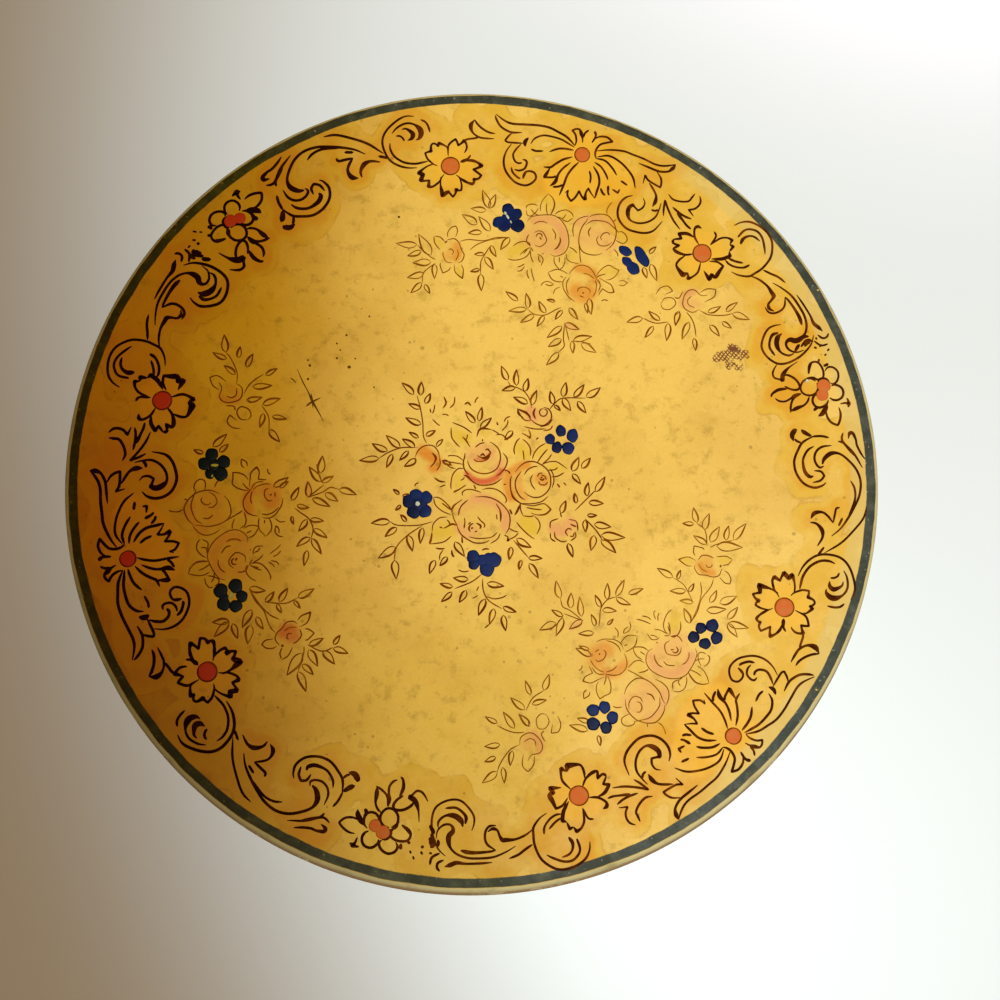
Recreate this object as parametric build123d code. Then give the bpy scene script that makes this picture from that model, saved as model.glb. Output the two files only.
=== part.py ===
from build123d import *
from math import cos, degrees, radians, sin
import os

# Round painted wooden box: a drum of bent wood with a flat lid board that lifts off.
# Millimetres, +Z up, origin at the centre of the circle that the box stands on.
# The side is a thin strip bent to a hoop and closed by a scarf lap with clinched tacks.
# A narrow band stiffens its mouth and another its foot, and each is lapped and tacked too.
# The base board is let in above the foot and pegged through its edge.
# A ring of bent strip, nailed under the lid board, drops into the mouth and keeps the lid in place.

# Overall sizes
BOX_DIAMETER = 204.0
SIDE_HEIGHT = 76.0

# Lid board
LID_BOARD_THICKNESS = 5.2
LID_BOARD_SETBACK = 0.8
LID_EDGE_ROUNDING = 1.1
LID_UNDER_CHAMFER = 0.5

# Bent strips of the side
HOOP_THICKNESS = 2.2
BAND_THICKNESS = 1.6
BAND_HEIGHT = 12.0
BAND_EDGE_CHAMFER = 0.4
GLUE_LINE = 0.05

# Scarf laps, where the two ends of a strip are planed to a slant and glued over each other
SCARF_LENGTH = 38.0
SCARF_GAP = 0.12
SCARF_NIB = 0.5
SCARF_OVERSHOOT = 0.6
LAP_END_PROUD = 0.45
LAP_SWELL_LENGTH = 42.0

# Ring under the lid
LID_RING_CLEARANCE = 0.4
LID_RING_THICKNESS = 2.4
LID_RING_HEIGHT = 10.0
LID_RING_BUTT_GAP = 1.5
LID_RING_EDGE_CHAMFER = 0.8

# Base board
BASE_BOARD_THICKNESS = 6.0
BASE_BOARD_RECESS = 1.5
BASE_EDGE_CHAMFER = 0.5

# Forged tacks in the laps: square tapered shanks under low faceted heads
TACK_SHANK = 1.1
TACK_POINT = 0.3
TACK_HEAD_SIDES = 8
TACK_HEAD_RADIUS = 1.7
TACK_CROWN_RADIUS = 0.8
TACK_HEAD_HEIGHT = 0.5
BAND_TACK_LENGTH = 3.3
CLINCH_LENGTH = 3.0
CLINCH_THICKNESS = 0.5
SEATING_GAP = 0.03

# Whittled wooden pegs in the base's edge
PEG_SIDES = 8
PEG_LENGTH = 12.0
PEG_RADIUS = 1.2
PEG_END_RADIUS = 0.8
PEG_PROUD = 0.25
PEG_COUNT = 8

# Cut brads that hold the ring under the lid board
BRAD_LENGTH = 13.0
BRAD_SHANK = 0.9
BRAD_POINT = 0.3
BRAD_HEAD = 1.6
BRAD_HEAD_HEIGHT = 0.6
BRAD_COUNT = 8

# Where things lie round the box, in degrees from +X
HOOP_LAP_ANGLE = 82.0
RIM_LAP_ANGLE = 128.0
FOOT_LAP_ANGLE = 40.0
LID_RING_GAP_ANGLE = 250.0
FIRST_PEG_ANGLE = 25.0
LAP_TACK_SHARES = (0.3, 0.7)

# Radii and levels that follow
BAND_OUTER = BOX_DIAMETER / 2
BAND_INNER = BAND_OUTER - BAND_THICKNESS
HOOP_OUTER = BAND_INNER - GLUE_LINE
HOOP_INNER = HOOP_OUTER - HOOP_THICKNESS
LID_RADIUS = BAND_OUTER - LID_BOARD_SETBACK
LID_TOP = SIDE_HEIGHT + LID_BOARD_THICKNESS
LID_RING_OUTER = HOOP_INNER - LID_RING_CLEARANCE
LID_RING_INNER = LID_RING_OUTER - LID_RING_THICKNESS
LID_RING_BOTTOM = SIDE_HEIGHT - LID_RING_HEIGHT
BASE_BOARD_RADIUS = HOOP_INNER - GLUE_LINE
PEG_LEVEL = BASE_BOARD_RECESS + BASE_BOARD_THICKNESS / 2
RIM_BAND_BOTTOM = SIDE_HEIGHT - BAND_HEIGHT
LAP_TACK_LEVELS = (BAND_HEIGHT + 7.0, SIDE_HEIGHT / 2, RIM_BAND_BOTTOM - 7.0)
RIM_TACK_LEVEL = RIM_BAND_BOTTOM + BAND_HEIGHT / 2
FOOT_TACK_LEVEL = BAND_HEIGHT * 0.78


def polar(radius, angle):
    """The point at this radius and angle in plan."""
    return (radius * cos(radians(angle)), radius * sin(radians(angle)))


def arc_angle(length, radius):
    """The angle, in degrees, that this length of strip covers at this radius."""
    return degrees(length / radius)


def hoop_of(outer, inner, bottom, height, top_chamfer=0.0, bottom_chamfer=0.0):
    """A strip's section carried round the axis, its outer corners planed off."""
    top = bottom + height
    corners = [
        (inner, bottom),
        (outer - bottom_chamfer, bottom),
        (outer, bottom + bottom_chamfer),
        (outer, top - top_chamfer),
        (outer - top_chamfer, top),
        (inner, top),
    ]
    corners = [corner for i, corner in enumerate(corners) if corner != corners[i - 1]]
    return revolve(Plane.XZ * make_face(Polyline(*corners, close=True)), Axis.Z)


def scarf_glue_line(outer, inner, bottom, height, start):
    """The slit of a scarf lap: square in from the outer face, on a slant, then square out again."""
    end = start + arc_angle(SCARF_LENGTH, outer)
    gap = arc_angle(SCARF_GAP, outer)
    middle = (start + end) / 2
    near_slant = ThreePointArc(
        polar(outer - SCARF_NIB, start),
        polar((outer + inner) / 2, middle),
        polar(inner + SCARF_NIB, end),
    )
    far_slant = ThreePointArc(
        polar(outer - SCARF_NIB + SCARF_GAP, start + gap),
        polar((outer + inner) / 2 + SCARF_GAP, middle),
        polar(inner + SCARF_NIB + SCARF_GAP, end + gap),
    )
    outside = [polar(outer + SCARF_OVERSHOOT, start), polar(outer + SCARF_OVERSHOOT, start + gap)]
    inside = [polar(inner - SCARF_OVERSHOOT, end), polar(inner - SCARF_OVERSHOOT, end + gap)]
    mouths = [
        Line(outside[0], near_slant @ 0),
        Line(outside[1], far_slant @ 0),
        Line(outside[0], outside[1]),
        Line(inside[0], near_slant @ 1),
        Line(inside[1], far_slant @ 1),
        Line(inside[0], inside[1]),
    ]
    plan = make_face([near_slant, far_slant] + mouths)
    return Pos(0, 0, bottom - 1) * extrude(plan, height + 2)


def lap_swell(face_radius, blunt_angle, turn, proud):
    """The thickening of the strip that runs up to its blunt end, where it stands proud of the face."""
    thin_angle = blunt_angle + turn * arc_angle(LAP_SWELL_LENGTH, face_radius)
    middle_angle = (blunt_angle + thin_angle) / 2
    root_radius = face_radius - proud
    raised = ThreePointArc(
        polar(face_radius + proud, blunt_angle),
        polar(face_radius + proud / 2, middle_angle),
        polar(face_radius, thin_angle),
    )
    root = ThreePointArc(
        polar(root_radius, blunt_angle),
        polar(root_radius, middle_angle),
        polar(root_radius, thin_angle),
    )
    ends = [Line(raised @ 0, root @ 0), Line(raised @ 1, root @ 1)]
    plan = make_face([raised, root] + ends)
    return Pos(0, 0, BAND_HEIGHT) * extrude(plan, RIM_BAND_BOTTOM - BAND_HEIGHT)


# The two blunt ends of the side's lap: the outer one shows outside and the inner one inside
half_gap_angle = arc_angle(SCARF_GAP, HOOP_OUTER) / 2
outer_end_angle = HOOP_LAP_ANGLE + half_gap_angle
inner_end_angle = HOOP_LAP_ANGLE + arc_angle(SCARF_LENGTH, HOOP_OUTER) + half_gap_angle


def lap_angle(start, radius, share):
    """The angle at this share of the way along a lap."""
    return start + share * arc_angle(SCARF_LENGTH, radius)


def swell_at(angle, blunt_angle, radius):
    """How far the swell stands proud of the strip's face at this angle."""
    run = abs(angle - blunt_angle) / arc_angle(LAP_SWELL_LENGTH, radius)
    return LAP_END_PROUD * (1 - run)


def square_taper(length, side, point):
    """A cut nail's shank along X, from x = 0 down to its small square point."""
    return loft([Plane.YZ * Rectangle(side, side), Plane.YZ.offset(-length) * Rectangle(point, point)])


def rose_head():
    """A forged tack's low head, struck to flat facets, whose flat side is at x = 0."""
    foot = Plane.YZ * RegularPolygon(TACK_HEAD_RADIUS, TACK_HEAD_SIDES)
    crown = Plane.YZ.offset(TACK_HEAD_HEIGHT) * RegularPolygon(TACK_CROWN_RADIUS, TACK_HEAD_SIDES)
    return loft([foot, crown])


def clinched_tack(wall):
    """A tack whose point came through this wall and was bent down and hammered flat inside."""
    shank = Pos(-wall / 2, 0, 0) * Box(wall, TACK_SHANK, TACK_SHANK)
    bent_point = Pos(-CLINCH_THICKNESS / 2, 0, 0) * Box(CLINCH_THICKNESS, TACK_SHANK, CLINCH_LENGTH)
    tip = bent_point.edges().filter_by(Axis.X).group_by(Axis.Z)[0]
    bent_point = chamfer(tip, TACK_SHANK * 0.4)
    bent_point = Pos(-wall, 0, (TACK_SHANK - CLINCH_LENGTH) / 2) * bent_point
    return rose_head() + shank + bent_point


def whittled_peg(length):
    """An eight-sided wooden peg along X, whose thick end is at x = 0."""
    thick = Plane.YZ * RegularPolygon(PEG_RADIUS, PEG_SIDES)
    thin = Plane.YZ.offset(-length) * RegularPolygon(PEG_END_RADIUS, PEG_SIDES)
    return loft([thick, thin])


def drive_in(item, radius, angle, level):
    """Turns a fastener that points along X so that it enters the drum at this place."""
    return Rot(0, 0, angle) * Pos(radius, 0, level) * item


def with_holes(strip, places, shank):
    """A strip or board with this shank's hole in it at each place."""
    for angle, level in places:
        strip = strip - drive_in(shank, BAND_OUTER, angle, level)
    return strip


lap_tack_places = [
    (lap_angle(HOOP_LAP_ANGLE, HOOP_OUTER, share), level)
    for share in LAP_TACK_SHARES
    for level in LAP_TACK_LEVELS
]
rim_tack_places = [
    (lap_angle(RIM_LAP_ANGLE, BAND_OUTER, share), RIM_TACK_LEVEL) for share in LAP_TACK_SHARES
]
foot_tack_places = [
    (lap_angle(FOOT_LAP_ANGLE, BAND_OUTER, share), FOOT_TACK_LEVEL) for share in LAP_TACK_SHARES
]
peg_places = [(FIRST_PEG_ANGLE + i * 360 / PEG_COUNT, PEG_LEVEL) for i in range(PEG_COUNT)]

lap_tack_shank = Pos(-BAND_THICKNESS, 0, 0) * Box(4 * HOOP_THICKNESS, TACK_SHANK, TACK_SHANK)
band_tack_shank = square_taper(BAND_TACK_LENGTH, TACK_SHANK, TACK_POINT)
band_tack = rose_head() + band_tack_shank
peg = Pos(PEG_PROUD, 0, 0) * whittled_peg(PEG_LENGTH)


def build_body_hoop():
    """The side: one thin strip, with the swells of its lap and every hole that goes through it."""
    hoop = hoop_of(HOOP_OUTER, HOOP_INNER, 0, SIDE_HEIGHT)
    hoop += lap_swell(HOOP_OUTER, outer_end_angle, 1, LAP_END_PROUD)
    hoop += lap_swell(HOOP_INNER, inner_end_angle, -1, -LAP_END_PROUD)
    hoop -= scarf_glue_line(HOOP_OUTER, HOOP_INNER, 0, SIDE_HEIGHT, HOOP_LAP_ANGLE)
    hoop = with_holes(hoop, lap_tack_places, lap_tack_shank)
    hoop = with_holes(hoop, rim_tack_places + foot_tack_places, band_tack_shank)
    return with_holes(hoop, peg_places, peg)


def build_rim_band():
    """The band round the mouth, level with the side's top edge."""
    band = hoop_of(
        BAND_OUTER, BAND_INNER, RIM_BAND_BOTTOM, BAND_HEIGHT, BAND_EDGE_CHAMFER, BAND_EDGE_CHAMFER
    )
    band -= scarf_glue_line(BAND_OUTER, BAND_INNER, RIM_BAND_BOTTOM, BAND_HEIGHT, RIM_LAP_ANGLE)
    return with_holes(band, rim_tack_places, band_tack_shank)


def build_foot_band():
    """The band round the foot, through which the base pegs are driven."""
    band = hoop_of(BAND_OUTER, BAND_INNER, 0, BAND_HEIGHT, BAND_EDGE_CHAMFER, BAND_EDGE_CHAMFER)
    band -= scarf_glue_line(BAND_OUTER, BAND_INNER, 0, BAND_HEIGHT, FOOT_LAP_ANGLE)
    band = with_holes(band, foot_tack_places, band_tack_shank)
    return with_holes(band, peg_places, peg)


def build_hoop_lap_tacks():
    """Six tacks in the side's lap, each long enough for the two swells that it goes through."""
    tacks = []
    for angle, level in lap_tack_places:
        outside = swell_at(angle, outer_end_angle, HOOP_OUTER)
        inside = swell_at(angle, inner_end_angle, HOOP_INNER)
        tack = clinched_tack(HOOP_THICKNESS + outside + inside + 2 * SEATING_GAP)
        tacks.append(drive_in(tack, HOOP_OUTER + outside + SEATING_GAP, angle, level))
    return together(tacks)


def round_board(radius, bottom, thickness):
    """A plain round board."""
    return Pos(0, 0, bottom + thickness / 2) * Cylinder(radius, thickness)


def build_base_board():
    """The round floor, let in a little above the foot, with the pegs' holes in its edge."""
    board = round_board(BASE_BOARD_RADIUS, BASE_BOARD_RECESS, BASE_BOARD_THICKNESS)
    board = chamfer(board.edges().filter_by(GeomType.CIRCLE), BASE_EDGE_CHAMFER)
    return with_holes(board, peg_places, peg)


# The brads stand upright, heads down in the ring and points up in the lid board
brad_circle = (LID_RING_OUTER + LID_RING_INNER) / 2
brad_step = 360 / BRAD_COUNT
brad_places = [
    Rot(0, 0, LID_RING_GAP_ANGLE + (i + 0.5) * brad_step) * Pos(brad_circle, 0, LID_RING_BOTTOM)
    for i in range(BRAD_COUNT)
]


def build_brad():
    """A cut brad that points up, its square head level with the ring's lower edge."""
    shank = Rot(0, 90, 0) * square_taper(BRAD_LENGTH, BRAD_SHANK, BRAD_POINT)
    head = Pos(0, 0, BRAD_HEAD_HEIGHT / 2) * Box(BRAD_HEAD, BRAD_HEAD, BRAD_HEAD_HEIGHT)
    return shank + head


def with_brad_holes(piece):
    """A piece with the hole that every brad has driven in it."""
    for place in brad_places:
        piece = piece - place * brad
    return piece


brad = build_brad()


def build_lid_board():
    """The painted lid: a flat round board, its upper edge rounded over with a spokeshave in two
    flats, and its lower edge eased."""
    knee = LID_EDGE_ROUNDING * (1 - cos(radians(45)))
    section = Polyline(
        (0, SIDE_HEIGHT),
        (LID_RADIUS - LID_UNDER_CHAMFER, SIDE_HEIGHT),
        (LID_RADIUS, SIDE_HEIGHT + LID_UNDER_CHAMFER),
        (LID_RADIUS, LID_TOP - LID_EDGE_ROUNDING),
        (LID_RADIUS - knee, LID_TOP - knee),
        (LID_RADIUS - LID_EDGE_ROUNDING, LID_TOP),
        (0, LID_TOP),
        close=True,
    )
    return with_brad_holes(revolve(Plane.XZ * make_face(section), Axis.Z))


def build_lid_ring():
    """The locating ring: a bent strip with a small gap where its ends meet."""
    strip = hoop_of(
        LID_RING_OUTER, LID_RING_INNER, LID_RING_BOTTOM, LID_RING_HEIGHT, 0, LID_RING_EDGE_CHAMFER
    )
    gap = Box(4 * LID_RING_THICKNESS, LID_RING_BUTT_GAP, 4 * LID_RING_HEIGHT)
    strip -= Rot(0, 0, LID_RING_GAP_ANGLE) * Pos(brad_circle, 0, LID_RING_BOTTOM) * gap
    return with_brad_holes(strip)


def together(items):
    """Like fasteners kept as one set of separate solids."""
    return Compound(children=[item.solid() for item in items])


parts = {
    "body_hoop": build_body_hoop(),
    "hoop_lap_tacks": build_hoop_lap_tacks(),
    "rim_band": build_rim_band(),
    "rim_band_tacks": together(drive_in(band_tack, BAND_OUTER, a, z) for a, z in rim_tack_places),
    "foot_band": build_foot_band(),
    "foot_band_tacks": together(drive_in(band_tack, BAND_OUTER, a, z) for a, z in foot_tack_places),
    "base_board": build_base_board(),
    "base_pegs": together(drive_in(peg, BAND_OUTER, a, z) for a, z in peg_places),
    "lid_board": build_lid_board(),
    "lid_ring": build_lid_ring(),
    "lid_ring_brads": together(place * brad for place in brad_places),
}

os.makedirs("parts", exist_ok=True)
for name, shape in parts.items():
    export_step(shape, f"parts/{name}.step")
    print(f"{name}: {len(shape.solids())} solids, {shape.volume:.0f} mm3")
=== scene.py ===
"""A round box of bent wood with a flat painted lid: an old hand-tinted transfer design on
honey-yellow paint."""

import bpy
import numpy as np
from mathutils import Matrix, Vector


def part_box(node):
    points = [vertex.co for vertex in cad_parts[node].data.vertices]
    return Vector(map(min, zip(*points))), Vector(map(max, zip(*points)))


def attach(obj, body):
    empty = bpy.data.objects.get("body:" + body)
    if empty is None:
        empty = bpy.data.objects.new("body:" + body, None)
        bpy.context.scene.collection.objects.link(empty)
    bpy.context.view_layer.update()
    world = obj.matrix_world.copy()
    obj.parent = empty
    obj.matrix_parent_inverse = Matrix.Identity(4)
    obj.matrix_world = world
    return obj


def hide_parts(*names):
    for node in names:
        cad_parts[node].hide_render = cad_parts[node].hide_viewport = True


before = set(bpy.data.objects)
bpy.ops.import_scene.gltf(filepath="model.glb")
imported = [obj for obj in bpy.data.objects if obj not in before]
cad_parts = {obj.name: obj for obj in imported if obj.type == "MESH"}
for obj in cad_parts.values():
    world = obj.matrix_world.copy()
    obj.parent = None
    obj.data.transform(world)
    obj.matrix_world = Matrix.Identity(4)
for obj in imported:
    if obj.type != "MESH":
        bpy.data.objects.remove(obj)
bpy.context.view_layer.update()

# The studio: a camera above the lid and a little in front of it, as the photograph was taken, and
# a plain pale table. A broad cool beam stands for a window on the right, and a small one for the
# light at the far corner. Both end on the left, where the warmer light of the room is left over.
CAMERA_PLACE = Vector((0.0054, -0.0826, 0.5082))
CAMERA_FORWARD = Vector((0.0037, 0.1767, -0.9843)).normalized()
CAMERA_RIGHT = Vector((1.0, -0.0003, 0.0037))
CAMERA_LENS_MM = 62.96
TABLE_SIZE = 3.0
TABLE_COLOR = (0.80, 0.80, 0.79)
TABLE_ROUGHNESS = 0.42
# Each lamp: its place, what it points at, its watts, its colour, how many degrees wide its beam is
# and how much of the beam is soft edge
WINDOW_LAMPS = {
    "window": ((0.15, -0.15, 1.30), (0.402, 0.102, 0.0), 61.5, (0.80, 0.946, 1.0), 46.8, 0.34),
    "far_window": ((0.60, 0.0, 1.30), (0.158, 0.327, 0.0), 82.9, (0.931, 0.804, 1.0), 17.6, 1.0),
}
WINDOW_RADIUS = 0.07
SKY_STRENGTH = 0.33
SKY_COLOR = (1.0, 0.71, 0.415)


def add(tree, kind, inputs=None, **settings):
    """A shader node of this kind. Each input is a value, or another node's output to link."""
    made = tree.nodes.new("ShaderNode" + kind)
    for name, value in settings.items():
        setattr(made, name, value)
    for name, value in (inputs or {}).items():
        if isinstance(value, bpy.types.NodeSocket):
            tree.links.new(value, made.inputs[name])
        else:
            made.inputs[name].default_value = value
    return made


def new_material(name):
    """A material with one Principled shader, and its node tree, shader and Object coordinates."""
    material = bpy.data.materials.new(name)
    material.use_nodes = True
    tree = material.node_tree
    shader = tree.nodes["Principled BSDF"]
    place = add(tree, "TexCoord").outputs["Object"]
    return material, tree, shader, place


def aimed(place, target):
    """The turn that points an object's -Z from one place at another."""
    return (Vector(target) - Vector(place)).to_track_quat("-Z", "Y").to_matrix().to_4x4()


camera_data = bpy.data.cameras.new("camera")
camera_data.lens = CAMERA_LENS_MM
camera = bpy.data.objects.new("camera", camera_data)
camera_up = CAMERA_RIGHT.cross(CAMERA_FORWARD).normalized()
camera_side = CAMERA_FORWARD.cross(camera_up)
camera_turn = Matrix((camera_side, camera_up, -CAMERA_FORWARD)).transposed().to_4x4()
camera.matrix_world = Matrix.Translation(CAMERA_PLACE) @ camera_turn
bpy.context.scene.collection.objects.link(camera)
bpy.context.scene.camera = camera
bpy.context.scene.view_settings.view_transform = "Standard"

for name, (at, target, watts, tone, beam, softness) in WINDOW_LAMPS.items():
    lamp_data = bpy.data.lights.new(name, "SPOT")
    lamp_data.energy = watts
    lamp_data.color = tone
    lamp_data.shadow_soft_size = WINDOW_RADIUS
    lamp_data.spot_size = np.radians(beam)
    lamp_data.spot_blend = softness
    lamp = bpy.data.objects.new(name, lamp_data)
    lamp.matrix_world = Matrix.Translation(at) @ aimed(at, target)
    bpy.context.scene.collection.objects.link(lamp)

world = bpy.data.worlds.new("room")
world.use_nodes = True
sky = world.node_tree.nodes["Background"]
sky.inputs["Color"].default_value = (*SKY_COLOR, 1.0)
sky.inputs["Strength"].default_value = SKY_STRENGTH
bpy.context.scene.world = world

table_mesh = bpy.data.meshes.new("table")
half = TABLE_SIZE / 2
table_corners = [(-half, -half, 0), (half, -half, 0), (half, half, 0), (-half, half, 0)]
table_mesh.from_pydata(table_corners, [], [(0, 1, 2, 3)])
table = bpy.data.objects.new("table", table_mesh)
bpy.context.scene.collection.objects.link(table)
laminate, tree, shader, place = new_material("pale laminate")
shader.inputs["Base Color"].default_value = (*TABLE_COLOR, 1.0)
shader.inputs["Roughness"].default_value = TABLE_ROUGHNESS
table_mesh.materials.append(laminate)


# The lid board: one flat round board with its top edge rounded over, painted honey yellow.
# Orange, pink and yellow washes are tinted by hand inside the printed outlines, then a dark
# green-grey line is run round the rim, and old varnish covers it all. Painted shade on the left
# and at the front and a painted sheen on the right are laid in with the varnish.
# Lengths from here on are in millimetres, and MM turns them into the frame's metres.
MM = 0.001
lid_low, lid_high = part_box("lid_board")
LID_RADIUS = lid_high.x / MM
LID_TOP = lid_high.z / MM
LID_UNDERSIDE = lid_low.z / MM
LID_EDGE_ROUNDING = 1.1
LID_UNDER_CHAMFER = 0.5
LID_TURNS = 620
LID_RINGS = 124
LID_UNDERSIDE_RINGS = (99, 60, 20, 1)
INNERMOST_RING = 0.8
EDGE_ROUNDED_FROM = 75
DESIGN_MIDDLE = (2.3, -0.2)
# Each laying of a printed sheet: degrees round, millimetres aside, a stretch, and how heavily it is inked
FIRST_LAYING = (0.0, 0.0, 0.0, 1.0, 1.0)
LONG_SHEET = (FIRST_LAYING, (-118.2, -1.0, -1.1, 1.0, 1.05), (121.0, -0.2, 1.1, 1.012, 1.3))
SHORT_SHEET = (FIRST_LAYING, (-120.1, -0.3, 0.5, 1.012, 1.15), (116.7, -3.9, -0.3, 1.009, 1.3))
SPRAY_SHEET = (FIRST_LAYING, (-123.2, 3.5, 3.3, 0.992, 0.95), (116.6, 2.4, -6.2, 1.008, 1.2))
CORNER_STRAIGHTNESS = 0.25


def skin(grid):
    """Points and faces of a closed surface: each four neighbours on the grid make a face, the last
    column joins the first, and the first and last rows are fanned to their middle points."""
    rows, columns = grid.shape[:2]
    index = np.arange(rows * columns).reshape(rows, columns)
    beside = np.roll(index, -1, axis=1)
    points = [grid.reshape(-1, 3)]
    faces = [np.stack([index[:-1], beside[:-1], beside[1:], index[1:]], -1).reshape(-1, 4)]
    for row, order in ((0, (1, 0, 2)), (rows - 1, (0, 1, 2))):
        middle = np.full(columns, rows * columns + len(points) - 1)
        points.append(grid[row].mean(0)[None])
        fan = np.stack([index[row], beside[row], middle], -1)[:, order]
        faces.append(np.hstack([fan, np.full((columns, 1), -1)]))
    return np.vstack(points), np.vstack(faces)


def piece(name, skins, body, material, replaces=(), smooth=True):
    """One mesh object from several skins, in millimetres, that rides on a body of the frame. A -1
    in a face stands for a corner that a triangle doesn't have."""
    starts = np.cumsum([0] + [len(points) for points, _ in skins])
    points = np.vstack([points for points, _ in skins]) * MM
    faces = np.vstack([np.where(faces < 0, -1, faces + start) for (_, faces), start in zip(skins, starts)])
    sizes = (faces >= 0).sum(1)
    mesh = bpy.data.meshes.new(name)
    mesh.vertices.add(len(points))
    mesh.vertices.foreach_set("co", points.astype(np.float32).ravel())
    mesh.loops.add(int(sizes.sum()))
    mesh.loops.foreach_set("vertex_index", faces[faces >= 0].astype(np.int32))
    mesh.polygons.add(len(faces))
    mesh.polygons.foreach_set("loop_start", (np.cumsum(sizes) - sizes).astype(np.int32))
    mesh.polygons.foreach_set("loop_total", sizes.astype(np.int32))
    mesh.polygons.foreach_set("use_smooth", np.full(len(faces), smooth))
    mesh.update(calc_edges=True)
    mesh.validate()
    mesh.materials.append(material)
    made = bpy.data.objects.new(name, mesh)
    bpy.context.scene.collection.objects.link(made)
    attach(made, body)
    if replaces:
        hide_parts(*replaces)
    return made


def turned(profile, turns):
    """A round board: the profile's radius and height carried round the axis, closed at both middles.
    The profile runs from the lower middle out and up to the upper middle, so the faces look out."""
    angle = np.linspace(0, 2 * np.pi, turns, endpoint=False)
    radius, height = np.array(profile, float).T[:, :, None]
    grid = np.stack([radius * np.cos(angle), radius * np.sin(angle), height + 0 * angle], -1)
    return skin(grid)


def corner(middle_radius, middle_height, rounding, start, end, steps=6):
    """Points of a rounded corner: an arc of a circle between two angles in the section."""
    angle = np.radians(np.linspace(start, end, steps))
    return [(middle_radius + rounding * np.cos(a), middle_height + rounding * np.sin(a)) for a in angle]


def curve_through(points, per_span=5):
    """A smooth curve through given points. In each span it is the cubic whose slope at a point
    is half the step between that point's neighbours, or nothing where the pen turned a sharp
    corner. The third column is the pen's weight."""
    marks = np.array([(*point, 1.0)[:3] for point in points])
    held = np.vstack([2 * marks[0] - marks[1], marks, 2 * marks[-1] - marks[-2]])
    steps = np.diff(held[:, :2], axis=0)
    length = np.maximum(np.linalg.norm(steps, axis=1), 1e-6)
    straightness = (steps[:-1] * steps[1:]).sum(1) / (length[:-1] * length[1:])
    slope = (held[2:] - held[:-2]) / 2 * (straightness > CORNER_STRAIGHTNESS)[:, None]
    start, end = marks[:-1], marks[1:]
    t = np.linspace(0, 1, per_span, endpoint=False)[:, None, None]
    spans = start + (end - start) * (3 - 2 * t) * t**2
    spans = spans + slope[:-1] * t * (1 - t) ** 2 - slope[1:] * t**2 * (1 - t)
    return np.vstack([spans.transpose(1, 0, 2).reshape(-1, 3), marks[-1]])


def laid(points, place):
    """The same points as one laying of the printed sheet puts them: turned about the middle of the
    design by so many degrees, shifted aside by so many millimetres and stretched a little. The last
    number of a laying is how heavily it was inked."""
    degrees, aside_x, aside_y, stretch = place[:4]
    angle = np.radians(degrees)
    turn = np.array([[np.cos(angle), np.sin(angle)], [-np.sin(angle), np.cos(angle)]]) * stretch
    moved = points.copy()
    moved[:, :2] = (points[:, :2] - DESIGN_MIDDLE) @ turn + DESIGN_MIDDLE + (aside_x, aside_y)
    return moved


# The border's printed outlines, drawn once for the sector at the top and laid three times, by hand,
# so the later layings sit a degree or two round and a millimetre or two aside. Each stroke is a list
# of points in millimetres on the lid; a third number is a heavier touch of the pen.
left_scroll = [
    [(-15.2, 94.7), (-17.3, 94.7), (-19.3, 93.7), (-21.7, 91.5), (-23, 89.3), (-23.2, 87), (-22.3, 84.3),
     (-21, 82.5), (-19, 81.3), (-16.7, 80.7), (-14.2, 80.7)],
    [(-20.8, 90), (-19.7, 91.4), (-18, 92.5), (-16.5, 92.8), (-15, 92.4), (-13.7, 91.3, 2.3),
     (-13.3, 90, 2.3), (-13.8, 88.7, 1.6), (-14.7, 88.2)],
    [(-18.3, 91.1), (-17.3, 91.3), (-16.2, 90.7, 1.6), (-15.4, 89.8, 2.2), (-15.7, 88.7, 1.8), (-16.8, 88.1)],
    [(-19.8, 89.3), (-18.8, 89.3), (-18, 88.7), (-17.6, 87.9)],
    [(-21.3, 87.4), (-21.2, 85.8), (-20.3, 84), (-18.7, 82.7), (-17, 82), (-14.7, 81.8), (-12.7, 82.2),
     (-11.5, 82.5)],
    [(-13.5, 93.8), (-12.3, 93.2), (-11.5, 92), (-11, 90.3)],
]
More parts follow.
